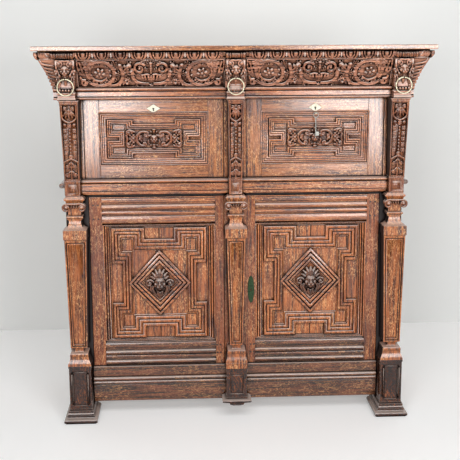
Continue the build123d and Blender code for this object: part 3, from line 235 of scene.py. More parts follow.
def mortised(piece, x, y, z):
    """The same board with a mortise chopped between three pairs of limits in millimetres."""
    chisel = board("chisel", "rail", x, y, z, arris=0.2)      # its faces take the board's own finish
    hold(piece)
    mortise = piece.modifiers.new("Mortise", "BOOLEAN")
    mortise.object = chisel
    bpy.ops.object.modifier_apply(modifier=mortise.name)
    bpy.data.objects.remove(chisel)
    return piece


def tower(name, finish, axis, back, steps):
    """A block that rises in steps of (level, half width, front), each drawn up from the last and resized."""
    let_go()
    level, half, front = steps[0]
    bpy.ops.mesh.primitive_plane_add(size=1, location=(axis * MM, (front + back) / 2 * MM, level * MM))
    bpy.context.object.scale = (2 * half * MM, (back - front) * MM, 1)
    piece = settle(bpy.context.object)
    edit(piece)
    bpy.ops.mesh.select_all(action="SELECT")
    for next_level, next_half, next_front in steps[1:]:
        bpy.ops.mesh.extrude_region_move(TRANSFORM_OT_translate={"value": (0, 0, (next_level - level) * MM)})
        ratio = (next_half / half, (back - next_front) / (back - front), 1)
        if abs(ratio[0] - 1) + abs(ratio[1] - 1) > 1e-6:
            bpy.ops.transform.resize(value=ratio, center_override=(axis * MM, back * MM, next_level * MM))
        level, half, front = next_level, next_half, next_front
    return closed(piece, name, finish)


def front_at(level, reach):
    """A test for the faces that look forwards with their middle within so far of a level."""
    return lambda f: f.normal.y < -0.9 and abs(midpoint(f).z - level) < reach


def sunk_panel(piece, test, margin, depth, slope=1.5):
    """Sink a panel into the faces that pass a test, with a margin left round it and a splayed edge."""
    edit(piece)
    pick(piece, test)
    bpy.ops.mesh.inset(thickness=margin * MM, depth=0)
    bpy.ops.mesh.inset(thickness=slope * MM, depth=-depth * MM)
    bpy.ops.mesh.inset(thickness=2.5 * slope * MM, depth=0)
    bpy.ops.mesh.inset(thickness=slope * MM, depth=depth * 0.5 * MM)
    bpy.ops.object.mode_set(mode="OBJECT")
    return piece


def moulding(name, finish, profile, ends, axis="X"):
    """A moulding run along X or Y between two ends, from the closed outline of its section.
    Along X the outline is (y, z) points, and along Y it is (x, z) points."""
    let_go()
    bpy.ops.mesh.primitive_circle_add(vertices=len(profile), radius=1, fill_type="NGON")
    piece = bpy.context.object
    edit(piece)
    bpy.ops.mesh.select_all(action="SELECT")
    mesh = bmesh.from_edit_mesh(piece.data)
    mesh.verts.ensure_lookup_table()
    for vertex, (across, level) in zip(mesh.verts, profile):
        place = (ends[0], across, level) if axis == "X" else (across, ends[0], level)
        vertex.co = Vector(place) * MM
    bmesh.update_edit_mesh(piece.data)
    run = (ends[1] - ends[0]) * MM
    draw = (run, 0, 0) if axis == "X" else (0, run, 0)
    bpy.ops.mesh.extrude_region_move(TRANSFORM_OT_translate={"value": draw})
    return closed(piece, name, finish)


def mitred(name, finish, outer, inner, section, base):
    """A mitred moulding on the front, from its outer line to its inner line, each a list of (x, z) corners.
    Its section is (share of the width, height) points, with the height measured forwards from the base plane.
    Points of no height are let 5 mm into the ground. An operator can't mitre a section round corners in and
    out, so the strip is skinned corner by corner."""
    mesh = bmesh.new()
    rows = []
    for (ox, oz), (ix, iz) in zip(outer, inner):
        row = [
            mesh.verts.new(Vector((ox + (ix - ox) * share, base - (height or -5),
                                   oz + (iz - oz) * share)) * MM)
            for share, height in section
        ]
        rows.append(row)
    for first, second in zip(rows, rows[1:] + rows[:1]):
        for j in range(len(section) - 1):
            mesh.faces.new((first[j], first[j + 1], second[j + 1], second[j]))
        mesh.faces.new((first[0], second[0], second[-1], first[-1]))
    bmesh.ops.recalc_face_normals(mesh, faces=mesh.faces)
    data = bpy.data.meshes.new(name)
    mesh.to_mesh(data)
    mesh.free()
    return named(new_object(name, data), name, finish)


def copy_of(piece, name, shift=(0, 0, 0), turn=None):
    """A copy with its own mesh, moved by a shift in millimetres after an optional turn or mirror."""
    made = piece.copy()
    made.data = piece.data.copy()
    made.name = name
    bpy.context.scene.collection.objects.link(made)
    if turn is not None:
        made.data.transform(turn)
        if turn.determinant() < 0:
            made.data.flip_normals()
    made.data.transform(Matrix.Translation(Vector(shift) * MM))
    return made


def joined(name, parts):
    """Join parts into one piece under one name; each part keeps its own finish."""
    hold(parts[0])
    for part in parts:
        part.select_set(True)
    if len(parts) > 1:
        bpy.ops.object.join()
    piece = bpy.context.view_layer.objects.active
    piece.name = name
    piece.data.name = name
    return piece


def fitted(piece, body, slot, *nodes):
    """A finished piece: carried by its body, and standing for its nodes of the frame."""
    settle(piece)
    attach(piece, body)
    if nodes:
        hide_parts(*nodes)
    return piece


def flowing(points, steps=4):
    """Points along the smooth curve through a few, each of any number of values."""
    ends = [points[0], *points, points[-1]]
    curve = []
    for a, b, c, d in zip(ends, ends[1:], ends[2:], ends[3:]):
        for i in range(steps):
            t = i / steps
            curve.append(tuple(
                0.5 * (2 * q + (r - p) * t
                       + (2 * p - 5 * q + 4 * r - s) * t**2 + (3 * q - p - 3 * r + s) * t**3)
                for p, q, r, s in zip(a, b, c, d)
            ))
    return curve + [tuple(points[-1])]


# Carved work: soft forms massed on a ground, then fused and smoothed as one surface.
# A cutter's forms have no flat faces to draw out, so they are laid down as lobes and ropes before the remesh.


class Carving:
    """A relief laid out as (across, up, forward) in millimetres, forward being proud of the ground."""

    def __init__(self, bold=1.0):
        self.mesh = bmesh.new()
        self.bold = bold

    def lobe(self, at, size, turn=0, tilt=0, fine=2):
        """A rounded lobe: size is its half length, half width and half thickness, and turn is in degrees."""
        spin = Matrix.Rotation(math.radians(turn), 4, "Z") @ Matrix.Rotation(math.radians(tilt), 4, "Y")
        place = Matrix.Translation(Vector(at)) @ spin @ Matrix.Diagonal((*size, 1))
        bmesh.ops.create_icosphere(self.mesh, subdivisions=fine, radius=1, matrix=place)

    def rope(self, points, sides=8):
        """A tapering stem that flows through (across, up, forward, radius) points."""
        points = flowing(points) if len(points) > 2 else points
        rings = []
        count = len(points)
        for i, (u, v, w, radius) in enumerate(points):
            radius *= self.bold
            before, after = points[max(i - 1, 0)], points[min(i + 1, count - 1)]
            along = Vector((after[0] - before[0], after[1] - before[1], after[2] - before[2]))
            along = along.normalized() if along.length > 1e-6 else Vector((1, 0, 0))
            side = along.cross(Vector((0, 0, 1)))
            side = side.normalized() if side.length > 1e-6 else Vector((1, 0, 0))
            lift = side.cross(along)
            ring = []
            for k in range(sides):
                angle = 2 * math.pi * k / sides
                offset = side * math.cos(angle) * radius + lift * math.sin(angle) * radius
                ring.append(self.mesh.verts.new(Vector((u, v, w)) + offset))
            rings.append(ring)
        for first, second in zip(rings, rings[1:]):
            for k in range(sides):
                n = (k + 1) % sides
                self.mesh.faces.new((first[k], first[n], second[n], second[k]))
        self.mesh.faces.new(rings[0][::-1])
        self.mesh.faces.new(rings[-1])

    def band(self, points, gap):
        """A stem with a groove down its middle: two ropes side by side, a gap apart at their middles."""
        curve = flowing(points)
        for side in (-0.5, 0.5):
            shifted = []
            for i, (u, v, w, radius) in enumerate(curve):
                before, after = curve[max(i - 1, 0)], curve[min(i + 1, len(curve) - 1)]
                along = Vector((after[0] - before[0], after[1] - before[1])).normalized()
                shifted.append((u - along.y * gap * side, v + along.x * gap * side, w, radius * 0.56))
            self.rope(shifted[::4] + shifted[-1:])

    def scroll(self, centre, start, end, radii, thick, height, steps=26):
        """A volute from an outer radius to an inner one, between two angles in degrees."""
        points = []
        for i in range(steps + 1):
            share = i / steps
            angle = math.radians(start + (end - start) * share)
            reach = radii[0] + (radii[1] - radii[0]) * share
            u = centre[0] + math.cos(angle) * reach
            v = centre[1] + math.sin(angle) * reach
            points.append((u, v, height, thick[0] + (thick[1] - thick[0]) * share))
        self.rope(points)
        self.lobe((centre[0], centre[1], height), (thick[1] * 1.7, thick[1] * 1.7, thick[1] * 1.5))

    def leaf(self, at, length, width, turn, height, lobes=3):
        """A small cut leaf: a midrib with lobes fanning to each side, its tip thrown forward."""
        direction = math.radians(turn)
        reach = (math.cos(direction), math.sin(direction))
        width *= self.bold
        for i in range(lobes):
            share = (i + 0.6) / lobes
            spread = width * math.sin(math.pi * min(share + 0.12, 1)) * 0.62
            for side in (-1, 1):
                u = at[0] + reach[0] * length * share - reach[1] * side * spread
                v = at[1] + reach[1] * length * share + reach[0] * side * spread
                self.lobe(
                    (u, v, height * (0.5 + 0.35 * share)),
                    (length / lobes * 0.66, width * 0.27, height * 0.72),
                    turn + side * (36 - 16 * share),
                    fine=1,
                )
        tip = (at[0] + reach[0] * length * 0.86, at[1] + reach[1] * length * 0.86, height)
        self.lobe(tip, (length * 0.24, width * 0.28, height * 0.8), turn, -12, fine=1)
        self.rope(
            [(at[0], at[1], height * 0.7, width * 0.17), (tip[0], tip[1], height * 1.1, width * 0.13)],
            sides=6,
        )

    def leaves(self, *rows):
        """Several leaves, each (at, length, width, turn, height, lobes)."""
        for row in rows:
            self.leaf(*row)

    def ropes(self, *stems):
        """Several stems, each a list of points."""
        for points in stems:
            self.rope(points)

    def flower(self, centre, radius, height, petals=6, turn=0):
        """A blossom of rounded petals round a boss."""
        for k in range(petals):
            angle = turn + 360 * k / petals
            u = centre[0] + math.cos(math.radians(angle)) * radius * 0.58
            v = centre[1] + math.sin(math.radians(angle)) * radius * 0.58
            self.lobe((u, v, height), (radius * 0.42, radius * 0.26, height * 0.62), angle, -12, fine=1)
        self.lobe((centre[0], centre[1], height * 1.25), (radius * 0.24, radius * 0.24, height * 0.6), fine=1)

    def spray(self, points, length, width, height, sides=(1, -1), spread=48):
        """Small leaves thrown off to the sides of a stem, all along its (across, up) points."""
        for first, second in zip(points, points[1:]):
            heading = math.degrees(math.atan2(second[1] - first[1], second[0] - first[0]))
            for side in sides:
                self.leaf(first, length, width, heading + side * spread, height, lobes=2)

    def mirror(self):
        """Repeat everything so far on the other side of the middle line."""
        found = list(self.mesh.verts) + list(self.mesh.edges) + list(self.mesh.faces)
        copied = bmesh.ops.duplicate(self.mesh, geom=found)["geom"]
        verts = [part for part in copied if isinstance(part, bmesh.types.BMVert)]
        bmesh.ops.scale(self.mesh, vec=(-1, 1, 1), verts=verts)
        bmesh.ops.reverse_faces(self.mesh,
                                faces=[part for part in copied if isinstance(part, bmesh.types.BMFace)])

    def cut(self, name, finish, place, grain, smoothing=2):
        """Fuse the forms into one carved surface and set it in its place on the cupboard."""
        data = bpy.data.meshes.new(name)
        self.mesh.to_mesh(data)
        self.mesh.free()
        data.transform(Matrix.Scale(MM, 4))
        piece = hold(new_object(name, data))
        fused = piece.modifiers.new("Fuse", "REMESH")
        fused.mode = "VOXEL"
        fused.voxel_size = grain
        bpy.ops.object.modifier_apply(modifier=fused.name)
        soft = piece.modifiers.new("Soften", "SMOOTH")
        soft.iterations = smoothing
        bpy.ops.object.modifier_apply(modifier=soft.name)
        piece.data.transform(place)
        if place.determinant() < 0:
            piece.data.flip_normals()
        return named(piece, name, finish, 180)


def on_front(x, z, base):
    """Where a relief stands upright on the front: its middle at (x, z), and its ground at a plane."""
    turn = Matrix(((1, 0, 0, 0), (0, 0, -1, 0), (0, 1, 0, 0), (0, 0, 0, 1)))
    return Matrix.Translation(Vector((x, base, z)) * MM) @ turn


def curve_steps(low, high, first, last, shape, count):
    """Levels of a curved course of a tower, from (half, front) to (half, front), as ogee, cove or ovolo."""
    steps = []
    for i in range(count + 1):
        share = i / count
        if shape == "ogee":
            blend = (1 - math.cos(math.pi * share)) / 2
        elif shape == "cove":
            blend = 1 - math.sqrt(max(0, 1 - share**2))
        else:
            blend = math.sqrt(max(0, 1 - (1 - share) ** 2))
        steps.append(
            (
                low + (high - low) * share,
                first[0] + (last[0] - first[0]) * blend,
                first[1] + (last[1] - first[1]) * blend,
            )
        )
    return steps


def torus_steps(low, high, half, front, swell, count):
    """Levels of a round course that swells past a plain block by so much."""
    steps = []
    for i in range(count + 1):
        angle = math.pi * i / count
        out = swell * math.sin(angle)
        steps.append((low + (high - low) * (1 - math.cos(angle)) / 2, half + out, front - out))
    return steps


# Finishes


def feed(tree, node, links):
    """Give a node's inputs their values, or other nodes' outputs."""
    for key, value in links.items():
        if isinstance(value, bpy.types.NodeSocket):
            tree.links.new(value, node.inputs[key])
        else:
            node.inputs[key].default_value = value


def add(tree, kind, links=None, out=0, **settings):
    """Add a node and return one of its outputs. Its inputs take a value or another node's output."""
    made = tree.nodes.new("ShaderNode" + kind)
    for key, value in settings.items():
        setattr(made, key, value)
    feed(tree, made, links or {})
    return made.outputs[out]


def new_finish(name):
    """An empty finish with its shader and the object's own coordinates."""
    finish = bpy.data.materials.new(name)
    finish.use_nodes = True
    tree = finish.node_tree
    shader = next(n for n in tree.nodes if n.type == "BSDF_PRINCIPLED")
    return finish, tree, shader, add(tree, "TexCoord", out="Object")


def rgba(value, gain=1.0):
    """A colour with full cover, lightened or darkened by a gain."""
    return (*(min(c * gain, 1.0) for c in value), 1.0)


# Grain runs along one axis: a fibre's mark is drawn out about twenty times longer than it is wide.
ALONG = {"X": (0.05, 1, 1), "Y": (1, 0.05, 1), "Z": (1, 1, 0.05)}
# A ray fleck is about three times longer than it is wide.
FLECK = {"X": (0.36, 1, 1), "Y": (1, 0.36, 1), "Z": (1, 1, 0.36)}


def oak(name, grain, light, mid, dark, gloss=0.17, wax=0.2, figure=1.0, old_wax_and_shade=1.0, wear_and_highlight=0.3):
    """Quarter-sawn oak, its grain along one axis: year rings, pores, ray fleck, worn arrises and upward faces
    lightened with painted highlight, and old wax darkened with painted shade in the hollows.
    """
    finish, tree, shader, place = new_finish(name)
    run = add(tree, "Mapping", {"Vector": place, "Scale": ALONG[grain]})
    fleck_run = add(tree, "Mapping", {"Vector": place, "Scale": FLECK[grain]})
    # Year rings stand about 5 mm apart, and are drawn at 9 mm so that they show from across a room.
    rings = add(
        tree, "TexNoise",
        {"Vector": run, "Scale": 110.0, "Detail": 4.0, "Roughness": 0.65, "Distortion": 0.6},
    )
    # Pores are 0.3 mm wide, drawn about 2 mm wide.
    pores = add(tree, "TexNoise", {"Vector": run, "Scale": 430.0, "Detail": 2.0, "Roughness": 0.7})
    # Ray flecks are silky flakes 3 to 20 mm long, in drifts of about 100 mm.
    fleck = add(
        tree, "TexNoise",
        {"Vector": fleck_run, "Scale": 150.0, "Detail": 3.0, "Roughness": 0.62, "Distortion": 1.8},
    )
    drift = add(tree, "TexNoise", {"Vector": place, "Scale": 8.0})
    # Boards differ from each other over about 300 mm.
    patch = add(tree, "TexNoise", {"Vector": place, "Scale": 3.6, "Detail": 3.0})
    ring_share = add(tree, "MapRange", {0: rings, 1: 0.38, 2: 0.57})
    base = add(tree, "Mix", {0: ring_share, 6: rgba(dark), 7: rgba(mid)}, 2, data_type="RGBA")
    dusk = add(tree, "MapRange", {0: patch, 1: 0.5, 2: 0.68, 4: 0.4})
    base = add(
        tree, "Mix", {0: dusk, 6: base, 7: rgba((dark[0], dark[1] * 0.75, dark[2]), 1.5)}, 2,
        data_type="RGBA",
    )
    silk = add(tree, "MapRange", {0: fleck, 1: 0.50, 2: 0.64})
    drifts = add(tree, "MapRange", {0: drift, 1: 0.36, 2: 0.60, 3: 0.15, 4: 0.95 * figure})
    silk = add(tree, "Math", {0: silk, 1: drifts}, operation="MULTIPLY")
    base = add(tree, "Mix", {0: silk, 6: base, 7: rgba(light)}, 2, data_type="RGBA")
    pore_share = add(tree, "MapRange", {0: pores, 1: 0.54, 2: 0.68, 4: 0.75})
    base = add(tree, "Mix", {0: pore_share, 6: base, 7: rgba(dark, 0.4)}, 2, data_type="RGBA")
    # The arrises are painted light, partly wear from handling and partly painted highlight; the cuts are
    # painted dark, partly old wax and dust and partly painted shade.
    edge = add(tree, "AmbientOcclusion", {"Distance": 0.003}, "AO", samples=6, inside=True, only_local=True)
    wear_and_highlight_share = add(tree, "MapRange", {0: edge, 1: 0.60, 2: 0.30, 4: wear_and_highlight})
    # Faces that look up are painted lighter: a painted highlight of the light from above, with a little dust
    # and wear.
    facing = add(tree, "SeparateXYZ", {0: add(tree, "TexCoord", out="Normal")}, "Z")
    top_light_and_dust = add(tree, "MapRange", {0: facing, 1: 0.18, 2: 0.75, 4: wear_and_highlight * 1.4})
    wear_and_highlight_share = add(tree, "Math", {0: wear_and_highlight_share, 1: top_light_and_dust}, operation="MAXIMUM")
    base = add(tree, "Mix", {0: wear_and_highlight_share, 6: base, 7: rgba(colours().rubbed)}, 2, data_type="RGBA")
    # Painted shade: the cuts and hollows are darkened towards the old-wax colour by occlusion, along with the
    # real wax in them.
    cavity = add(tree, "AmbientOcclusion", {"Distance": 0.016}, "AO", samples=8)
    hollow_share = add(tree, "MapRange", {0: cavity, 1: 0.88, 2: 0.46, 4: old_wax_and_shade})
    base = add(tree, "Mix", {0: hollow_share, 6: base, 7: rgba(colours().old_wax_and_shade)}, 2, data_type="RGBA")
    rough = add(tree, "MapRange", {0: rings, 1: 0.3, 2: 0.7, 3: gloss + 0.12, 4: gloss - 0.03})
    rough = add(tree, "Math", {0: hollow_share, 1: 0.35, 2: rough}, operation="MULTIPLY_ADD")
    # The darkened cuts, partly old wax and partly painted shade, are made matt and have no wax on them.
    clean = add(tree, "Math", {0: 1.0, 1: hollow_share}, operation="SUBTRACT")
    height = add(tree, "Math", {0: pores, 1: -1.4, 2: fleck}, operation="MULTIPLY_ADD")
    feed(tree, shader, {
        "Base Color": base,
        "Roughness": rough,
        "IOR": 1.5,
        "Specular IOR Level": add(tree, "Math", {0: clean, 1: 0.5}, operation="MULTIPLY"),
        "Coat Weight": add(tree, "Math", {0: clean, 1: wax}, operation="MULTIPLY"),
        "Coat Roughness": 0.16,
        "Normal": add(tree, "Bump", {"Strength": 0.4, "Distance": 0.0005, "Height": height}),
    })
    return finish


def metal(name, colour, tarnish, roughness, cover):
    """An old metal, rubbed bright where it is handled and dull in patches."""
    finish, tree, shader, place = new_finish(name)
    # Tarnish lies in patches of about 6 mm, with finer scratches through it.
    patch = add(tree, "TexNoise", {"Vector": place, "Scale": 160.0, "Detail": 4.0, "Roughness": 0.6})
    scratch = add(tree, "TexNoise", {"Vector": place, "Scale": 900.0})
    dull = add(tree, "MapRange", {0: patch, 1: 0.44, 2: 0.66, 4: cover})
    cavity = add(tree, "AmbientOcclusion", {"Distance": 0.004}, "AO", samples=6)
    hollow_share = add(tree, "MapRange", {0: cavity, 1: 0.7, 2: 0.2, 4: 0.6})
    share = add(tree, "Math", {0: dull, 1: hollow_share}, operation="MAXIMUM")
    base = add(tree, "Mix", {0: share, 6: rgba(colour), 7: rgba(tarnish)}, 2, data_type="RGBA")
    rough = add(tree, "MapRange", {0: scratch, 1: 0.3, 2: 0.7, 3: roughness - 0.07, 4: roughness + 0.12})
    rough = add(tree, "Math", {0: share, 1: 0.22, 2: rough}, operation="MULTIPLY_ADD")
    bump = add(tree, "Bump", {"Strength": 0.25, "Distance": 0.0003, "Height": patch})
    feed(tree, shader, {"Base Color": base, "Roughness": rough, "Metallic": 0.9, "Normal": bump})
    return finish


def paint(name, colour, glow):
    """Emulsion paint on plaster or screed: matt, and slightly uneven over half a metre."""
    finish, tree, shader, place = new_finish(name)
    patch = add(tree, "TexNoise", {"Vector": place, "Scale": 1.6, "Detail": 3.0})
    share = add(tree, "MapRange", {0: patch, 1: 0.3, 2: 0.7})
    base = add(tree, "Mix", {0: share, 6: rgba(colour, 0.97), 7: rgba(colour)}, 2, data_type="RGBA")
    # Seen directly or in a reflection, the room is a little lighter than the lamps alone make it.
    seen = 0.0
    for ray in ("Is Camera Ray", "Is Glossy Ray", "Is Transmission Ray"):
        seen = add(tree, "Math", {0: add(tree, "LightPath", out=ray), 1: seen}, operation="MAXIMUM")
    strength = add(tree, "Math", {0: seen, 1: glow}, operation="MULTIPLY")
    feed(tree, shader, {"Base Color": base, "Roughness": 0.9, "Specular IOR Level": 0.2,
                        "Emission Color": rgba(colour), "Emission Strength": strength})
    return finish


def make_finishes():
    """Every finish on the cupboard, once."""
    tone = colours()
    light, mid, dark = tone.oak_light, tone.oak_mid, tone.oak_dark
    # Waxed oak, quarter sawn and planed: orange, flecked with gold, with a glare from the polish.
    FINISHES["rail"] = oak("waxed_oak_rail", "X", light, mid, dark)
    FINISHES["stile"] = oak("waxed_oak_stile", "Z", light, mid, dark)
    FINISHES["side"] = oak("waxed_oak_side", "Y", light, mid, dark)
    # Oak mouldings, scratched and scraped: the same wood, with black wax and painted shade in the quirks.
    FINISHES["reed"] = oak("moulded_oak_rail", "X", light, mid, dark, wax=0.8, figure=0.8, wear_and_highlight=0.4)
    FINISHES["reed_up"] = oak("moulded_oak_stile", "Z", light, mid, dark, figure=0.8, wear_and_highlight=0.4)
    # Carved oak: cut across the grain, so it drinks the polish, and goes dark in the hollows with old wax and
    # painted shade.
    FINISHES["carved"] = oak("carved_oak", "Z", light, tone.carved_mid, dark, figure=0.5, wear_and_highlight=0.5)
    # The frieze was stained darker and redder than the doors, and the plinths darker again.
    FINISHES["frieze"] = oak("stained_frieze_oak", "X", light, tone.frieze_mid, dark, figure=0.3, wear_and_highlight=0.65)
    FINISHES["plinth"] = oak(
        "stained_plinth_oak", "Z", mid, tone.plinth_mid, tone.old_wax_and_shade, figure=0.6, wear_and_highlight=0.35,
    )
    # Door stiles: darker and redder oak, closer in the grain; the darkening is partly the wood's own tone and
    # partly painted shade for the column's shadow on them.
    FINISHES["door_stile"] = oak("handled_oak_stile", "Z", light, linear("8C4722"), dark, figure=0.7)
    # The masks have gone nearly black with wax that no cloth lifts, but for their brows, which take the
    # painted highlight of every upward face.
    FINISHES["mask"] = oak(
        "blackened_carved_oak", "Z", mid, linear("6A402A"), tone.old_wax_and_shade, figure=0.4, wax=0.6, wear_and_highlight=0.35,
    )
    # Painted shade: a dull, nearly black oak for the sides, gaps, hollows and keyholes where shade falls; the
    # pegs take it as their own dark colour.
    FINISHES["shade"] = oak(
        "unpolished_dark_oak", "Z", tone.plinth_mid, linear("1A0C08"), tone.old_wax_and_shade, gloss=0.6, wax=0.0,
        figure=0.4, wear_and_highlight=0.0,
    )
    # The top and the fall-fronts have the most polish.
    golden = linear("A9663A")
    FINISHES["polished"] = oak("polished_oak_board", "X", light, golden, dark, gloss=0.12, wax=1.0, wear_and_highlight=0.12)
    FINISHES["polished_up"] = oak("polished_oak_stile", "Z", light, golden, dark, gloss=0.12, wax=1.0)
    # The lowest rail is smoky from mops and boots.
    FINISHES["low"] = oak(
        "smoky_oak_rail", "X", light, linear("6B3B27"), tone.old_wax_and_shade, wax=0.5, figure=0.5, wear_and_highlight=0.35,
    )
    # Bare boards: sawn, unwaxed and dry.
    bare = {
        "light": tone.bare_light, "mid": tone.bare_mid, "dark": mid, "gloss": 0.6, "wax": 0.0, "old_wax_and_shade": 0.5,
        "wear_and_highlight": 0.1,
    }
    FINISHES["bare"] = oak("bare_oak_boards", "X", **bare)
    FINISHES["bare_up"] = oak("bare_oak_planks", "Z", **bare)
    # Cast brass, drawn to wire and rubbed pale; it has kept its polish where it is pulled.
    FINISHES["brass"] = metal("rubbed_brass", tone.brass, linear("9A8F6E"), 0.3, cover=0.55)
    FINISHES["plate"] = metal("dull_brass_plate", linear("B9B4A2"), linear("8C8672"), 0.42, cover=0.5)
    # Bronze with a green patina, matt except on its raised edges.
    FINISHES["bronze"] = metal("green_bronze", tone.bronze, linear("1B2A20"), 0.46, cover=0.7)
    # Blackened wrought iron.
    FINISHES["iron"] = metal("black_iron", tone.iron, linear("2A1D15"), 0.5, cover=0.6)
    # Worn steel, gone dull and grey.
    FINISHES["steel"] = metal("worn_steel", tone.steel, linear("77736C"), 0.45, cover=0.3)


# Sections of the mouldings


def arc(centre, radius, first, last, count=7, squash=1.0):
    """Points round part of a circle between two angles in degrees, squashed in depth if need be."""
    angles = [math.radians(first + (last - first) * i / count) for i in range(count + 1)]
    return [(centre[0] + radius * math.cos(a) * squash, centre[1] + radius * math.sin(a)) for a in angles]


CORNERS = ((-1, -1), (-1, 1), (1, -1), (1, 1))
SIDES = ((-1, "left"), (1, "right"))


def rectangle(x, z, grow=0):
    """The corners of a rectangle on the front, grown or shrunk all round."""
    return [
        (x[0] - grow, z[0] - grow),
        (x[1] + grow, z[0] - grow),
        (x[1] + grow, z[1] + grow),
        (x[0] - grow, z[1] + grow),
    ]


def ring_of(quarter, x, z):
    """A closed outline about a centre, from its points in one quarter."""
    right_top = list(quarter)
    right_low = [(u, -v) for u, v in reversed(quarter)]
    left_low = [(-u, -v) for u, v in quarter]
    left_top = [(-u, v) for u, v in reversed(quarter)]
    return [(u + x, v + z) for u, v in right_top + right_low + left_low + left_top]


# Section of the applied ribbon, as (share of the width, share of the height): three flat reeds that step down
# inwards with narrow quirks between, and a last small bead
RIBBON = (
    (0, 0), (0, 0.55), (0.02, 0.86), (0.05, 0.97), (0.10, 1.0), (0.20, 0.98), (0.24, 0.88), (0.26, 0.74),
    (0.27, 0.46), (0.305, 0.46), (0.315, 0.62), (0.34, 0.74), (0.40, 0.78), (0.50, 0.76), (0.54, 0.66),
    (0.56, 0.52), (0.57, 0.28), (0.605, 0.28), (0.615, 0.42), (0.64, 0.52), (0.70, 0.56), (0.80, 0.54),
    (0.84, 0.44), (0.86, 0.30), (0.87, 0.10), (0.905, 0.10), (0.915, 0.26), (0.95, 0.30), (1, 0.14), (1, 0),
)


def ribbon(height):
    """The reeded section at a height in millimetres."""
    return [(share, level * height) for share, level in RIBBON]


SENSOR = 36
LENS = 949.5 * SENSOR / 460      # a focal length of 949.5 pixels in a view 460 pixels wide
CAMERA_TURN = (11.29, 2.78, -0.289)      # pitch down, yaw to the right and roll, in degrees
CAMERA_PLACE = (-0.2116, -4.0662, 1.5891)
DAYLIGHT = (0.985, 0.985, 0.99)


class CUPBOARD_OT_room(bpy.types.Operator):
    """Set the floor, the wall, the lamps and the camera"""

    bl_idname = "cupboard.room"
    bl_label = "Room"

    def execute(self, context):
        walls = (
            ("floor", (0, -3.2, 0), (0, 0, 0), (16, 8.6, 1), colours().floor, 0.32),
            ("wall", (0, 1.1, 3), (math.radians(90), 0, 0), (16, 6, 1), colours().wall, 0.21),
        )
        for name, place, turn, size, colour, glow in walls:
            let_go()
            bpy.ops.mesh.primitive_plane_add(size=1, location=place, rotation=turn)
            bpy.context.object.scale = size
            piece = settle(bpy.context.object)
            FINISHES[name] = paint(f"painted_{name}", list(colour), glow)
            named(piece, name, name)
        # Two tall windows behind the viewer, a soft ceiling, and the light of the room from all round
        lamps = (
            ("left_window", (-1.4, -4.7, 1.45), (-1.0, 0, 1.15), (1.7, 1.8), 98, DAYLIGHT),
            ("right_window", (1.75, -4.7, 1.45), (1.2, 0, 1.15), (1.9, 1.8), 104, DAYLIGHT),
            ("ceiling", (0.2, -3.2, 3.4), (0, -0.4, 0.6), (3.8, 1.8), 84, DAYLIGHT),
            ("wall_light", (0.3, 0.2, 2.45), (0.3, 1.1, 2.1), (0.4, 0.2), 3.2, (1.0, 1.0, 0.98)),
        )
        for name, place, aim, size, power, tint in lamps:
            data = bpy.data.lights.new(name, "AREA")
            data.shape = "RECTANGLE"
            data.size, data.size_y = size
            data.energy = power
            data.color = tint
            lamp = new_object(name, data)
            lamp.location = place
            lamp.rotation_euler = (Vector(aim) - Vector(place)).to_track_quat("-Z", "Y").to_euler()
            lamp.visible_camera = False
        world = bpy.data.worlds.new("room_light")
        bpy.context.scene.world = world
        world.use_nodes = True
        tree = world.node_tree
        tree.nodes["Background"].inputs["Color"].default_value = (0.97, 0.98, 1.0, 1)
        tree.nodes["Background"].inputs["Strength"].default_value = 0.10
        data = bpy.data.cameras.new("camera")
        data.sensor_width = SENSOR
        data.lens = LENS
        data.clip_start, data.clip_end = 0.05, 60
        camera = new_object("camera", data)
        pitch, yaw, roll = (math.radians(a) for a in CAMERA_TURN)
        forward = Vector((math.sin(yaw) * math.cos(pitch), math.cos(yaw) * math.cos(pitch), -math.sin(pitch)))
        right = Vector((math.cos(yaw), -math.sin(yaw), 0))
        up = right.cross(forward)
        across = right * math.cos(roll) + up * math.sin(roll)
        upright = -right * math.sin(roll) + up * math.cos(roll)
        turn = Matrix((across, upright, -forward)).transposed().to_4x4()
        camera.matrix_world = Matrix.Translation(CAMERA_PLACE) @ turn
        bpy.context.scene.camera = camera
        bpy.context.scene.view_settings.view_transform = "Standard"
        return {"FINISHED"}


class CUPBOARD_OT_frame_finishes(bpy.types.Operator):
    """Give the joined frame's own parts their finishes"""

    bl_idname = "cupboard.frame_finishes"
    bl_label = "Frame finishes"

    def execute(self, context):
        make_finishes()
        by_finish = {
            "polished": ("top_board",),
            # The front posts are painted shade, for the dark gaps beside the columns and the doors.
            "shade": ("left_front_post", "right_front_post"),
            "low": ("belt_mouldings",),
            "stile": ("centre_stile", "rear_posts", "side_panels", "left_door_panel", "right_door_panel"),
            "side": ("side_rails",),
            "bare": ("carcase_boards", "shelf", "bearers", "left_drawer_box", "right_drawer_box"),
            "bare_up": ("back_boards", "centre_partition"),
            "brass": ("left_ring", "centre_ring", "right_ring"),
            "plate": ("left_flap_lock", "right_flap_lock"),
            "bronze": ("right_door_lock",),
            "iron": (
                "ring_staples", "pivot_pins", "left_door_bolt_plate", "left_door_bolt", "right_door_bolt",
                "left_flap_bolt", "right_flap_bolt",
            ),
            "steel": ("key",),
        }
        chosen = {node: FINISHES[finish] for finish, nodes in by_finish.items() for node in nodes}
        for name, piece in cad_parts.items():
            piece.data.materials.clear()
            piece.data.materials.append(chosen.get(name, FINISHES["rail"]))
        return {"FINISHED"}


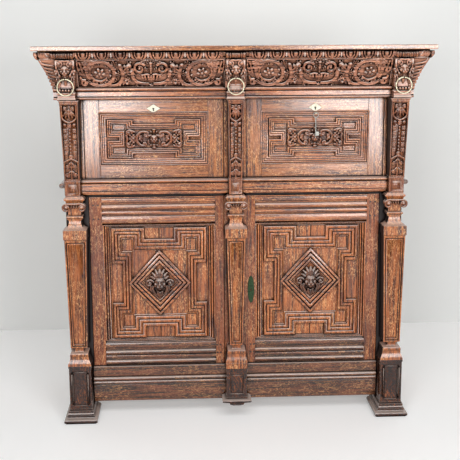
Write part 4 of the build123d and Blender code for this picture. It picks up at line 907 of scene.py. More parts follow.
class CUPBOARD_OT_frieze_rail(bpy.types.Operator):
    """Run the frieze rail under the drawers, with its returns and the fall-fronts' stops"""

    bl_idname = "cupboard.frieze_rail"
    bl_label = "Frieze rail"

    def execute(self, context):
        def section(plane, out):
            """The rail's section, its flat at a plane and growing outwards."""
            points = [(0, 1357), (0, 1404), (39, 1404)]
            points += arc((39, 1398), 6, 90, -90)[1:]
            points += [(36, 1391), (32, 1390), (35, 1388), (35, 1371), (31, 1369), (33, 1367)]
            points += arc((33, 1362.5), 4.5, 90, -90)[1:]
            points += [(30, 1357)]
            return [(plane + out * depth, level) for depth, level in points]

        parts = [moulding("front", "reed", section(FACE, -1), (-731, 731))]
        for side in (-1, 1):
            outline = [(side * (BODY_HALF + 0.2 + depth * 0.72), level) for depth, level in section(0, 1)]
            parts.append(moulding("return", "side", outline, (FACE + 0.2, BACK), axis="Y"))
            stop = board("stop", "rail", sided(side, 49, 616), (-130.5, -112), (1345, 1357))
            parts.append(mortised(stop, sided(side, *FLAP_BOLT[0]), FLAP_BOLT[1], (1340, 1360)))
        inner = board("inner", "rail", (-620, 620), (FACE, -112), (1357, 1391.9))
        for side in (-1, 1):
            mortised(inner, sided(side, *FLAP_BOLT[0]), FLAP_BOLT[1], (1350, 1360))
        parts.append(inner)
        fitted(joined("frieze_rail_moulded", parts), "carcase", "oak", "frieze_rail")
        return {"FINISHED"}


class CUPBOARD_OT_rails(bpy.types.Operator):
    """Run the middle and bottom rails with their beads"""

    bl_idname = "cupboard.rails"
    bl_label = "Middle and bottom rails"

    def execute(self, context):
        middle = [(-160, 968), (-160, 1030), (-184, 1030), (-187.5, 1028.5)]
        middle += arc((-185, 1022.5), 5, 110, 250)
        middle += [
            (-183, 1015.5), (-181.5, 1014), (-185, 1012.5), (-185, 984), (-181, 982), (-183, 980.5),
            (-183, 971), (-180, 968),
        ]
        # The inner board behind the rail's moulding is painted shade, for the dark gap over the doors.
        inner = board("inner", "shade", (-609, 609), (FACE, -100), (957, 1030))
        left_stop, right_stop = (
            board("stop", "rail", sided(side, 49, 600), (-131, -100), (945, 957), arris=1) for side in (-1, 1)
        )
        for part in (inner, left_stop):
            mortised(part, *DOOR_BOLT, (940, 960))
        parts = [moulding("front", "reed", middle, (-BODY_HALF, BODY_HALF)), inner, left_stop, right_stop]
        fitted(joined("mid_rail_moulded", parts), "carcase", "oak", "mid_rail")
        bottom = [(-120, 64), (-120, 222), (-166, 222), (-170, 219), (-170, 180), (-167, 177), (-167, 175)]
        bottom += arc((-170, 166), 8, 100, 260, 8) + arc((-170, 150), 8, 100, 260, 8)
        bottom += [(-167, 141), (-167, 139), (-170, 136), (-170, 84), (-166.5, 81), (-166.5, 70), (-163, 64)]
        rail = moulding("rail", "low", bottom, (-609, 609))
        fitted(joined("bottom_rail_moulded", [rail]), "carcase", "oak", "bottom_rail")
        return {"FINISHED"}


class CUPBOARD_OT_fall_fronts(bpy.types.Operator):
    """Joint the two fall-fronts: stiles, rails, the stepped moulding and the strapwork on the panel"""

    bl_idname = "cupboard.fall_fronts"
    bl_label = "Fall-fronts"

    def execute(self, context):
        (low_x, high_x), field_z = FLAP_FIELD
        centre_x, centre_z = (low_x + high_x) / 2, sum(field_z) / 2
        y = (-155, -131)
        for side, word in SIDES:
            parts = [
                board("stile", "polished_up", sided(side, 554.2, 618), y, (1032, 1355)),
                board("stile", "polished_up", sided(side, 47, 110.8), y, (1032, 1355)),
                board("rail", "polished", sided(side, 111, 554), y, (1302.3, 1355)),
                board("rail", "polished", sided(side, 111, 554), y, (1032, 1086.7)),
            ]
            fitted(joined(f"{word}_flap_frame_jointed", parts), f"{word}_flap", "oak", f"{word}_flap_frame")
            panel = board("panel", "rail", sided(side, 103, 562), (-147, -135), (1079, 1310))
            fitted(joined(f"{word}_flap_panel_planed", [panel]), f"{word}_flap", "oak", f"{word}_flap_panel")
            field = (sided(side, low_x, high_x), field_z)
            stepped = (
                (0, 0), (0, 9.5), (0.03, 11), (0.09, 11.6), (0.14, 10.5), (0.15, 4.6), (0.185, 4.6),
                (0.195, 7), (0.27, 8.6), (0.36, 8), (0.40, 6.6), (0.41, 3), (0.445, 3), (0.455, 5.4),
                (0.52, 6.6), (0.62, 6), (0.66, 4.8), (0.67, 1.8), (0.705, 1.8), (0.715, 3.8), (0.78, 4.6),
                (0.88, 4), (0.96, 3), (0.965, 0.6), (1, 0.6), (1, 0),
            )
            frame_strip = mitred(
                "frame", "reed", rectangle(*field, grow=3), rectangle(*field, grow=-28), stepped, FLAP_GROUND,
            )
            x = side * centre_x
            outer = ((86, 61), (86, 79), (191, 79), (191, 7), (142, 7))
            inner = ((118, 36), (118, 58), (167, 58), (167, 36), (118, 36))
            strip = mitred(
                "strap", "reed", ring_of(outer, x, centre_z), ring_of(inner, x, centre_z), ribbon(11),
                FLAP_GROUND,
            )
            bevelled = ((0, 0), (0, 3), (0.4, 3), (0.6, 1), (1, 1), (1, 0))
            cells = []
            for u, v in CORNERS:
                cell = rectangle(sided(u, 121, 165, x), sided(v, 39, 56, centre_z))
                small = rectangle(sided(u, 127, 159, x), sided(v, 44, 51, centre_z))
                cells.append(mitred("cell", "reed", cell, small, bevelled, FLAP_GROUND))
            ornament = cartouche(f"{word}_cartouche", x, centre_z)
            piece = joined(f"{word}_flap_strapwork", [frame_strip, strip, *cells, ornament])
            fitted(piece, f"{word}_flap", "dark_oak", f"{word}_flap_carving")
        return {"FINISHED"}


def door_rails(x):
    """A door's reeded top and bottom rails between two X limits."""
    back = -132
    top = [
        (back, 836), (back, 955), (-158, 955), (-160, 953.5), (-160, 949.5), (-157.5, 948.3), (-160.5, 946.5),
        (-161, 940), (-160.5, 932.5), (-157, 930.5), (-155.5, 929), (-155.5, 922),
    ]
    top += arc((-157.5, 911), 10, 95, 265, 9, squash=0.75)
    top += [
        (-155.5, 900), (-155.5, 894.5), (-159, 893.5), (-160, 890), (-160, 883), (-158, 880.5), (-155, 879.5),
        (-155, 873.5), (-159.5, 872.5), (-161.5, 868), (-162, 858), (-161.5, 847), (-159, 843.5),
        (-155, 842.5), (-153, 838), (-151, 836),
    ]
    low = [
        (back, 224), (back, 333), (-151, 333), (-152.5, 329), (-155, 326), (-155, 323), (-159.5, 322),
        (-162, 317), (-162, 306), (-160, 301), (-155.5, 299.5), (-155.5, 289),
    ]
    low += arc((-157, 279.5), 8.5, 95, 265, 8, squash=0.8)
    low += [
        (-155.5, 270), (-155.5, 267), (-159, 266), (-160.5, 261), (-159, 256), (-155.5, 254.5),
        (-155.5, 246.5),
    ]
    low += arc((-157, 237), 8.5, 95, 265, 8, squash=0.8)
    low += [(-156, 227.5), (-158, 226.5), (-158, 224)]
    return [moulding("top", "reed", top, x), moulding("low", "low", low, x)]


class CUPBOARD_OT_doors(bpy.types.Operator):
    """Joint the two doors: stiles, reeded rails, the reeds of the field, strapwork, lozenge and mask"""

    bl_idname = "cupboard.doors"
    bl_label = "Doors"

    def execute(self, context):
        (low_x, high_x), field_z = DOOR_FIELD
        centre_x, centre_z = (low_x + high_x) / 2, sum(field_z) / 2
        for side, word, inner_edge in ((-1, "left", -48), (1, "right", -46)):
            y, z = (FACE, -132), (224, 955)
            meeting = sorted((inner_edge, side * 84.8))
            parts = [
                board("stile", "door_stile", sided(side, 555.2, 607), y, z),
                board("stile", "door_stile", meeting, y, z),
            ]
            parts += door_rails(sided(side, 85, 555))
            for level in (272, 306, 862, 921):
                for edge in (65, 78) if level < 600 else (570, 590):
                    let_go()
                    bpy.ops.mesh.primitive_cylinder_add(
                        vertices=12, radius=3.4 * MM, depth=1.4 * MM,
                        location=(side * edge * MM, -160.4 * MM, level * MM),
                        rotation=(math.radians(90), 0, 0),
                    )
                    peg = settle(bpy.context.object)
                    edit(peg)
                    pick(peg, lambda f: f.normal.y < -0.9)
                    bpy.ops.mesh.inset(thickness=0.7 * MM, depth=0.3 * MM)
                    bpy.ops.object.mode_set(mode="OBJECT")
                    parts.append(named(peg, "peg", "shade"))
            piece = joined(f"{word}_door_frame_reeded", parts)
            fitted(piece, f"{word}_door", "oak", f"{word}_door_frame")
            field = (sided(side, low_x, high_x), field_z)
            x = side * centre_x
            inner = rectangle((x - 200, x + 200), (centre_z - 238.6, centre_z + 238.6))
            reeds = (
                (0, 0), (0, 9.5), (0.04, 10), (0.14, 9.8), (0.18, 9), (0.2, 3), (0.28, 3), (0.3, 7.6),
                (0.36, 8.8), (0.44, 8.4), (0.48, 7.2), (0.5, 2), (0.58, 2), (0.6, 5.8), (0.66, 6.8),
                (0.73, 6), (0.75, 1), (0.83, 1), (0.85, 3.4), (0.95, 3.8), (1, 2), (1, 0),
            )
            field_strip = mitred("field", "reed_up", rectangle(*field), inner, reeds, DOOR_GROUND)
            outer_line = ((61, 190), (61, 238), (199, 238), (199, 86), (155, 86))
            inner_line = ((113, 138), (113, 190), (155, 190), (155, 138), (113, 138))
            strip = mitred(
                "strap", "reed_up", ring_of(outer_line, x, centre_z), ring_of(inner_line, x, centre_z),
                ribbon(13.5), DOOR_GROUND,
            )
            lozenge_outer, lozenge_inner = (
                [(x - wide, centre_z), (x, centre_z + high), (x + wide, centre_z), (x, centre_z - high)]
                for wide, high in ((130, 142), (75, 75))
            )
            steps = (
                (0, 0), (0, 10), (0.02, 13), (0.14, 15), (0.2, 14.6), (0.22, 6), (0.31, 6), (0.33, 10.5),
                (0.42, 12.6), (0.5, 12.6), (0.54, 11.5), (0.56, 4), (0.65, 4), (0.67, 8), (0.76, 9.4),
                (0.84, 8.6), (0.86, 2), (0.93, 2), (0.95, 4), (1, 3), (1, 0),
            )
            lozenge = mitred("lozenge", "reed", lozenge_outer, lozenge_inner, steps, DOOR_GROUND)
            parts = [field_strip, strip, lozenge]
            for u, v in CORNERS:
                cell_x, cell_z = sided(u, 116, 152, x), sided(v, 141, 187, centre_z)
                parts.append(board("cell", "stile", cell_x, (-152, -149), cell_z, arris=0.8))
            # The middle of the panel is pieced, with its joint on the centre line
            for v, u in CORNERS:
                block_x, block_z = sided(u, 2.2, 60, x), sided(v, 191, 237, centre_z)
                parts.append(board("fillet", "stile", block_x, (-153, -149), block_z, arris=0.8))
            parts.append(door_mask(f"{word}_door_mask", x, centre_z))
            piece = joined(f"{word}_door_strapwork", parts)
            fitted(piece, f"{word}_door", "dark_oak", f"{word}_door_carving")
        return {"FINISHED"}


def shade_inward_sides(piece, axis):
    """Put painted shade on a block's sides that face towards the doors: those faces take the dark shade
    finish as a second one.
    """
    piece.data.materials.append(FINISHES["shade"])
    for face in piece.data.polygons:
        if abs(face.normal.x) > 0.85 and face.normal.x * axis <= 0:
            face.material_index = 1
    return piece


def shaft_part(axis, wide, foot, block, head):
    """One lower column without its carving: base, waist, tapered shaft with a sunk panel, and capital."""
    drop = 968 - head
    steps = [(249, block, -242), (253, block, -242)]
    steps += curve_steps(253, 284, (block, -242), (38.5, -236), "ogee", 8)[1:]
    steps += [(290, 38.5, -236)] + torus_steps(290, 305, 36, -238, 2.5, 6) + [(306, 33, -234)]
    steps += curve_steps(306, 314, (30, -233), (17.5, -225), "ovolo", 4)[1:] + [(320, 17.5, -225)]
    steps += curve_steps(320, 327, (17.5, -225), (foot, -232), "cove", 4)[1:]
    shaft_top = 784 - drop
    steps += [(shaft_top, wide, -232)]
    steps += curve_steps(shaft_top, shaft_top + 8, (wide, -232), (block, -240), "cove", 4)[1:]
    steps += [(shaft_top + 46, block, -240)]
    steps += curve_steps(shaft_top + 46, shaft_top + 84, (block - 1.5, -238.5), (24, -215), "ovolo", 7)
    steps += [(shaft_top + 90, 31, -215), (shaft_top + 93, 31, -215)]
    steps += torus_steps(shaft_top + 94, shaft_top + 103, 31, -221, 3.5, 5)
    steps += [
        (shaft_top + 104, 26, -213), (shaft_top + 128, 26, -213), (shaft_top + 140, 30, -218),
        (shaft_top + 167, 36, -222),
    ]
    steps += [(head - 17, 40, -224), (head - 13, 42.5, -225), (head - 10, 42.5, -225)]
    steps += curve_steps(head - 9, head - 2, (41, -224), (34.5, -219), "ogee", 4) + [(head, 34.5, -219)]
    piece = tower("shaft", "stile", axis, FACE, steps)
    middle = (327 + shaft_top) / 2
    edit(piece)
    pick(piece, front_at(middle, 40))
    for margin, sink in ((5.5, 0), (0.8, -5), (3, 0), (0.8, 3), (4, 0), (1, -6)):
        bpy.ops.mesh.inset(thickness=margin * MM, depth=sink * MM)
    bpy.ops.object.mode_set(mode="OBJECT")
    return shade_inward_sides(piece, axis), shaft_top


class CUPBOARD_OT_columns(bpy.types.Operator):
    """Turn out the three lower columns with their voluted capitals"""

    bl_idname = "cupboard.columns"
    bl_label = "Lower columns"

    def execute(self, context):
        corner = []
        for axis in (-COLUMN_AXIS, COLUMN_AXIS):
            shaft, shaft_top = shaft_part(axis, 45, 35, 48, 968)
            corner += [shaft, capital(axis, shaft_top)]
        fitted(joined("corner_columns_carved", corner), "carcase", "oak", "corner_columns")
        shaft, shaft_top = shaft_part(0, 38, 27, 45, 966)
        foot = board("foot", "stile", (-45, 45), (-242, FACE), (224, 249.2))
        piece = joined("centre_column_carved", [shaft, foot, capital(0, shaft_top)])
        fitted(piece, "right_door", "oak", "centre_column")
        return {"FINISHED"}


def plinth_block(axis, half, low, high, back):
    """A plinth with a sunk panel on its front and a thin moulding at head and foot."""
    steps = [(low, half, -242), (low + 6, half, -242), (low + 7, half - 2.5, -239.5),
             (high - 9, half - 2.5, -239.5),
             (high - 8, half, -242), (high, half, -242)]
    piece = tower("plinth", "plinth", axis, back, steps)
    middle = (low + high) / 2
    sunk_panel(piece, front_at(middle, 12), 13, 4)
    if half > 46:
        sunk_panel(piece, lambda f: abs(f.normal.x) > 0.9 and abs(midpoint(f).z - middle) < 12, 13, 3)
    return piece


class CUPBOARD_OT_plinths(bpy.types.Operator):
    """Build the plinth blocks, the hanging foot and the front feet"""

    bl_idname = "cupboard.plinths"
    bl_label = "Plinths and feet"

    def execute(self, context):
        corner = [plinth_block(axis, 48, 54, 249, FACE) for axis in (-COLUMN_AXIS, COLUMN_AXIS)]
        fitted(joined("corner_plinths_panelled", corner), "carcase", "oak", "corner_plinths")
        centre = plinth_block(0, 45, 91, 222, -178)
        hanging = [(60, 15, -242), (62, 18, -246)] + curve_steps(64, 76, (20, -247), (31, -255), "ovolo", 5)
        hanging += [(77, 56, -253)] + torus_steps(78, 88, 59, -255, 3, 5) + [(89, 55, -252), (91.5, 47, -244)]
        drop = tower("hanging", "plinth", 0, -178, hanging)
        fitted(joined("centre_plinth_panelled", [centre, drop]), "carcase", "oak", "centre_plinth")
        feet = []
        for axis in (-COLUMN_AXIS, COLUMN_AXIS):
            steps = [(0, 62, -259), (5, 66, -263)] + torus_steps(5, 20, 66.5, -264, 3.5, 7)
            steps += [(21, 64, -262), (22, 62, -260)] + curve_steps(
                22, 31, (62, -260), (56.5, -254.5), "ovolo", 4,
            )
            steps += [(31.5, 58, -256), (35.5, 58, -256), (36, 55, -253)]
            steps += curve_steps(36, 46, (54.5, -252), (50.5, -248), "cove", 3)
            steps += [(46.5, 52.5, -250), (54, 52.5, -250)]
            feet.append(tower("foot", "plinth", axis, -70, steps))
        fitted(joined("front_feet_moulded", feet), "carcase", "oak", "front_feet")
        return {"FINISHED"}


class CUPBOARD_OT_pilasters(bpy.types.Operator):
    """Build the three upper pilasters, their caps and the small panelled blocks under them"""

    bl_idname = "cupboard.pilasters"
    bl_label = "Upper pilasters"

    def execute(self, context):
        for name, node, axes, foot, head in (
            ("corner_pilasters_carved", "corner_pilasters", (-PILASTER_AXIS, PILASTER_AXIS), 31, 36),
            ("centre_pilaster_carved", "centre_pilaster", (0,), 27.5, 30),
        ):
            parts = []
            for axis in axes:
                steps = [
                    (1030, foot + 1.5, -217), (1035, foot + 1.5, -217), (1036, foot, -215),
                    (1344, head, -248),
                ]
                steps += [(1345, head + 1, -249), (1349, head + 1, -249)]
                steps += curve_steps(1350, 1355, (head + 1, -249), (head + 3, -251), "ovolo", 4)
                steps += [(1357, head + 3, -251)]
                shaft = tower("shaft", "carved", axis, FACE, steps)
                sunk_panel(shaft, front_at(1190, 40), 4, 6, slope=0.8)
                parts += [shade_inward_sides(shaft, axis), pilaster_relief(axis, foot, head)]
            fitted(joined(name, parts), "carcase", "oak", node)
        # The posts' faces show as a thin polished strip beside each fall-front
        strips = [
            board("strip", "polished_up", sided(side, 619.5, 632), (-162, -159), (1030.5, 1356), arris=0.6)
            for side in (-1, 1)
        ]
        # Outside, the posts are faced in the same oak as the panels they hold, so their painted shade shows
        # only towards the front
        for side in (-1, 1):
            for z in ((56, 991), (1017, 1356)):
                strips.append(board("cheek", "stile", sided(side, 701.5, 703), (-159, -98.5), z, arris=0.5))
        fitted(joined("post_strips", strips), "carcase", "oak")
        blocks = []
        for axis, half in ((-PILASTER_AXIS, 31), (0, 27.5), (PILASTER_AXIS, 31)):
            block = board("block", "carved", (axis - half, axis + half), (-215, -190), (968, 1030), arris=1)
            sunk_panel(block, lambda f: f.normal.y < -0.9 and f.calc_area() > 0.001, 8, 3)
            blocks.append(block)
        fitted(joined("pilaster_blocks_panelled", blocks), "carcase", "oak", "pilaster_blocks")
        return {"FINISHED"}


# Carved ornament, each piece laid out about its own middle in millimetres


def on_slope(x, foot, head, sink=0):
    """Where a relief leans on a sloping front, its middle half way between foot and head, each (y, z)."""
    rise = Vector((0, head[0] - foot[0], head[1] - foot[1])).normalized()
    across = Vector((1, 0, 0))
    forward = across.cross(rise)
    middle = Vector((x, (foot[0] + head[0]) / 2, (foot[1] + head[1]) / 2)) * MM - forward * sink * MM
    turn = Matrix((across, rise, forward)).transposed().to_4x4()
    return Matrix.Translation(middle) @ turn


def turned(name, finish, centre, profile):
    """A turning along X: a disc drawn out and resized along (x, radius) points, and closed at both ends."""
    let_go()
    x, radius = profile[0]
    bpy.ops.mesh.primitive_circle_add(
        vertices=28, radius=radius * MM, fill_type="NGON",
        location=(x * MM, centre[0] * MM, centre[1] * MM), rotation=(0, math.radians(90), 0),
    )
    piece = settle(bpy.context.object)
    edit(piece)
    bpy.ops.mesh.select_all(action="SELECT")
    for next_x, next_radius in profile[1:]:
        bpy.ops.mesh.extrude_region_move(TRANSFORM_OT_translate={"value": ((next_x - x) * MM, 0, 0)})
        if abs(next_radius - radius) > 1e-6:
            ratio = next_radius / radius
            bpy.ops.transform.resize(
                value=(1, ratio, ratio), center_override=(next_x * MM, centre[0] * MM, centre[1] * MM),
            )
        x, radius = next_x, next_radius
    return closed(piece, name, finish)


def lion(relief, at, size, lift):
    """A lion's face: size is half its height without the mane, and lift is how far the muzzle stands out."""
    u, v = at
    s, w = size, lift

    def mass(across, up, forward, half, turn=0, fine=2):
        place = (u + across * s, v + up * s, forward * w)
        relief.lobe(place, (half[0] * s, half[1] * s, half[2] * w), turn, fine=fine)

    def stem(*points):
        relief.rope([(u + a * s, v + b * s, c * w, radius * s) for a, b, c, radius in points])

    mass(0, 0.12, 0.30, (0.74, 0.80, 0.42))
    mass(0, 0.48, 0.48, (0.56, 0.38, 0.24))
    mass(0, -0.30, 0.62, (0.36, 0.30, 0.28))
    stem((0, 0.46, 0.66, 0.13), (0, 0.08, 0.80, 0.13), (0, -0.12, 0.92, 0.17))
    mass(0, -0.14, 0.92, (0.20, 0.11, 0.10))
    for side in (-1, 1):
        mass(side * 0.20, -0.34, 0.80, (0.22, 0.17, 0.16))
        mass(side * 0.50, -0.12, 0.50, (0.24, 0.30, 0.20))
        stem(
            (side * 0.10, 0.36, 0.72, 0.09), (side * 0.34, 0.47, 0.70, 0.11), (side * 0.62, 0.34, 0.56, 0.08),
        )
        mass(side * 0.34, 0.24, 0.62, (0.12, 0.09, 0.10), fine=1)
        mass(side * 0.72, 0.62, 0.36, (0.20, 0.16, 0.18), side * 40, fine=1)
    mass(0, -0.62, 0.56, (0.26, 0.13, 0.20))


def mane(relief, at, size, lift, reach):
    """Curling locks all round a lion's face."""
    locks = 14
    for k in range(locks):
        angle = 360 * (k + 0.5) / locks + 90
        turn = math.radians(angle)
        inner, outer = size * 0.80, size * (1.0 + 0.26 * reach)
        bend = math.radians(14 if math.cos(turn) > 0 else -14)
        u, v = at
        relief.rope([
            (u + math.cos(turn) * inner, v + math.sin(turn) * inner, 0.42 * lift, 0.11 * size),
            (
                u + math.cos(turn) * (inner + outer) / 2, v + math.sin(turn) * (inner + outer) / 2,
                0.42 * lift, 0.14 * size,
            ),
            (u + math.cos(turn + bend) * outer, v + math.sin(turn + bend) * outer, 0.22 * lift, 0.07 * size),
        ], sides=6)


def door_mask(name, x, z):
    """The lozenge's middle: a lion's face under a fan of leaves, with curled temples and a pointed beard."""
    relief = Carving(1.15)
    for turn, length, height in ((68, 38, 14), (44, 34, 12), (20, 30, 10)):
        reach = math.radians(turn)
        start = (math.cos(reach) * 12, 14 + math.sin(reach) * 10)
        relief.rope([
            (start[0], start[1], height, 5),
            (
                start[0] + math.cos(reach) * length * 0.5, start[1] + math.sin(reach) * length * 0.5,
                height + 4, 7,
            ),
            (start[0] + math.cos(reach) * length, start[1] + math.sin(reach) * length, height - 4, 3),
        ])
    relief.scroll((45, -2), 100, -280, (13, 5), (4.4, 3), 10, steps=20)
    relief.lobe((45, -2, 13), (5, 5, 5))
    relief.ropes(
        [(25, 4, 14, 4), (36, 12, 13, 4.4), (46, 11, 10, 4)],
        [(26, -12, 12, 5), (31, -26, 11, 5.4), (24, -42, 9, 4.4), (12, -56, 7, 3)],
        [(38, -14, 8, 4), (40, -28, 7, 4), (32, -42, 6, 3)],
        [(9, -34, 15, 4.2), (10, -46, 13, 4), (4, -58, 9, 3)],
    )
    relief.mirror()
    relief.ropes(
        [(0, 24, 18, 6), (0, 44, 19, 7.5), (0, 62, 11, 3)],
        [(0, -38, 16, 4.4), (0, -50, 13, 4.4), (0, -66, 7, 2.8)],
    )
    lion(relief, (0, -3), 34, 36)
    relief.lobe((0, -2, 0), (48, 52, 5))
    return relief.cut(name, "mask", on_front(x, z, -149), sizes().small_carving_grain * 1.2)


def cartouche(name, x, z):
    """The fall-front's ornament: a mask under a bud, great scrolls, cross leaves and corner volutes."""
    relief = Carving(1.3)
    # Great C-scroll: its eye beside the bud, sweeping out and down to a small curl under the mask
    relief.scroll((33, 17), 60, 420, (12, 4.5), (4.0, 2.6), 10, steps=22)
    relief.rope([
        (38, 29, 9, 3.6), (54, 27, 9, 4), (67, 14, 9, 4.2), (70, -6, 9, 4.2), (58, -24, 9, 4),
        (42, -30, 8, 3.4),
    ])
    relief.scroll((40, -22), 260, -60, (9, 3.5), (3.2, 2.2), 8, steps=18)
    relief.rope([(50, 14, 7, 3.4), (55, 0, 7, 3.6), (50, -12, 7, 3.2)])
    relief.leaf((58, 16), 22, 12, -84, height=8, lobes=3)
    for turn in (45, 135, 225, 315):
        relief.leaf((84, 0), 23, 13, turn, height=8, lobes=3)
    relief.lobe((84, 0, 9), (5.4, 5.4, 4.5))
    for up in (-1, 1):
        relief.scroll((103, up * 24), up * 200, up * -160, (12, 4.5), (4.0, 2.6), 8)
        relief.lobe((103, up * 24, 12), (4.8, 4.8, 5.5))
        relief.rope([(78, up * 27, 6, 3.4), (92, up * 33, 7, 3.6), (104, up * 36, 7, 3.4)])
    relief.rope([(114, 16, 7, 3.4), (109, 0, 8, 4), (114, -16, 7, 3.4)])
    relief.lobe((62, 0, -2), (56, 33, 3))
    relief.mirror()
    relief.leaf((0, 22), 18, 14, 90, height=11, lobes=2)
    relief.lobe((0, 30, 11), (5.5, 7, 6))
    relief.leaf((0, -22), 18, 16, -90, height=10, lobes=2)
    relief.lobe((0, -26, 9), (7, 6, 6))
    for side_curl in (-1, 1):
        relief.ropes(
            [(side_curl * 9, 15, 14, 3), (side_curl * 19, 12, 13, 3.2), (side_curl * 26, 4, 10, 2.6)],
            [(side_curl * 20, -4, 9, 3), (side_curl * 24, -14, 9, 3), (side_curl * 18, -22, 8, 2.6)],
        )
    lion(relief, (0, -2), 21, 27)
    return relief.cut(name, "carved", on_front(x, z, -148), sizes().small_carving_grain * 1.2)


def capital(axis, shaft_top):
    """A column's volutes, the eggs between them, and their rolls running back to the post."""
    relief = Carving()
    relief.scroll((31, -2), 90, -400, (16, 6), (4, 3), 22, steps=32)
    relief.lobe((31, -2, 23), (6.8, 6.8, 6.5))
    relief.rope([(0, 13, 20, 4), (14, 13.5, 20, 4), (31, 14, 22, 4)])
    relief.rope([(31, -2, -30, 13), (31, -2, 12, 11.5)], sides=18)
    relief.lobe((10.5, 1, 13), (4, 8, 6.5))
    relief.mirror()
    relief.lobe((0, 0, 13), (4.6, 9, 7.5))
    return relief.cut("capital", "carved", on_front(axis, shaft_top + 142, -218), sizes().small_carving_grain)


def pilaster_relief(axis, foot, head):
    """An upper pilaster's carving: a fan, a string of husks between blocks, and scrolls in an arch."""
    relief = Carving(1.15)
    u = (foot + head) / 2 - 6.5
    # Fan with two eyes over a border that sags
    relief.scroll((0.60 * u, 138), 60, 420, (8, 3.4), (2.8, 2.2), 7, steps=18)
    relief.lobe((0.60 * u, 138, 8), (3.4, 3.4, 4))
    relief.ropes(
        [(0.10 * u, 132, 7, 3), (0.34 * u, 116, 8, 4), (0.52 * u, 103, 6, 2.6)],
        [(0.16 * u, 134, 6, 2.6), (0.60 * u, 120, 7, 3.6), (0.84 * u, 110, 5, 2.4)],
        [(u * 1.04, 153, 7, 3), (u * 1.03, 108, 7, 3), (0.72 * u, 92, 8, 3.2), (0, 83, 8.5, 3.2)],
    )
    relief.lobe((0.66 * u, 74, 4), (8, 7, 6), 20)
    # Husks and blocks
    for k in range(5):
        for share in (0.52, 0.80):
            for shift in (-3.6, 3.6):
                relief.lobe((share * u, 50 - 23 * k + shift, 2), (0.2 * u, 6.6, 4.4), fine=1)
    # Arch over two tiers of scrolls
    relief.rope([(1.04 * u, -153, 7, 3), (1.02 * u, -86, 7, 3), (0.72 * u, -74, 8, 3.2), (0, -64, 8.5, 3.2)])
    relief.scroll((0.54 * u, -98), 200, -170, (9, 3.4), (2.8, 2.2), 6, steps=18)
    relief.rope([(0.08 * u, -80, 6, 2.8), (0.30 * u, -88, 7, 3.6), (0.42 * u, -100, 5, 2.4)])
    relief.scroll((0.58 * u, -130), 160, 520, (8.5, 3.4), (2.8, 2.2), 6, steps=18)
    relief.rope([(0.10 * u, -116, 6, 2.8), (0.36 * u, -124, 7, 3.6), (0.50 * u, -140, 5, 2.4)])
    relief.mirror()
    relief.lobe((0, 132, 7), (6, 6, 6))
    relief.rope([(0, 126, 7, 3), (0, 112, 9, 4), (0, 96, 6, 2.6)])
    for level, radius in ((72, 6.2), (-56, 5.6)):
        relief.scroll((0, level), 0, 360, (radius, radius), (2.8, 2.8), 8, steps=14)
    for k in range(8):
        level = 54 - 13.4 * k
        relief.lobe((0, level, 6.5), (5, 4.6, 5.5), fine=1)
        relief.lobe((0, level - 6, 5), (3, 4.4, 4), fine=1)
    relief.rope([(0, -72, 5, 2.4), (0, -154, 5, 3.2)])
    place = on_slope(axis, (-215, 1030), (-248, 1344), sink=5.5)
    return relief.cut("relief", "carved", place, sizes().small_carving_grain * 1.1)


def bracket_body(axis, half):
    """A bracket's core under its carving: foot mouldings, hollow, brow and head."""
    steps = [(1357, half - 1, -245), (1361, half, -247)]
    steps += curve_steps(1361, 1367, (half, -247), (half - 2, -243), "ogee", 3)[1:]
    steps += [(1369, half - 3, -240), (1379, half - 3, -240)] + torus_steps(1380, 1388, half - 4, -244, 3, 5)
    steps += [
        (1390, half - 5, -243), (1394, half - 6, -234), (1404, half - 7, -226), (1412, half - 7, -223),
        (1424, half - 6, -232),
    ]
    steps += [
        (1438, half - 5, -246), (1456, half - 3, -250), (1468, half - 2, -249), (1478, half - 1, -251),
        (1490, half, -256),
    ]
    steps += [(1497, half, -259), (1512, half, -261), (1517, half - 1, -260), (1519, half - 2, -258)]
    return tower("core", "frieze", axis, -196, steps)


def bracket_relief(axis, half):
    """A bracket's carving: brow volutes, a lion over the ring, its tongue, and beads at the foot."""
    relief = Carving(1.15)
    h = half - 4
    # Brow: a volute each side with a bar between, and curls over the temples
    relief.scroll((0.62 * h, 62), 250, -150, (11.5, 4), (3.4, 2.2), 26, steps=22)
    relief.lobe((0.62 * h, 62, 30), (4.6, 4.6, 4))
    relief.ropes(
        [(0, 73, 25, 3.4), (0.3 * h, 75, 26, 3.4), (0.62 * h, 74, 26, 3.4)],
        [(0.98 * h, 74, 20, 3.2), (1.0 * h, 50, 19, 3.6), (0.92 * h, 26, 15, 3.2)],
    )
    relief.leaves(
        ((0.95 * h, 44), 34, 17, -112, 20, 3),
        ((0.80 * h, 18), 26, 15, -100, 11, 3),
    )
    relief.rope([(0.62 * h, -6, 6, 4), (0.78 * h, -22, 3, 4), (0.80 * h, -36, 4, 3.4)])
    relief.mirror()
    mane(relief, (0, 36), 23, 26, reach=0.8)
    lion(relief, (0, 34), 25, 42)
    relief.lobe((0, 30, 8), (22, 28, 14))
    # Chin and tongue behind the ring, and the beads under it
    relief.lobe((0, 8, 16), (8, 9, 9))
    relief.rope([(0, 2, 10, 6), (0, -10, 6, 5), (0, -22, 2, 3)])
    for k in range(5):
        relief.lobe(((k - 2) * 0.36 * h, -42, 8), (4.8, 5.6, 6))
    return relief.cut("relief", "frieze", on_front(axis, 1438, -238), sizes().small_carving_grain * 1.2)


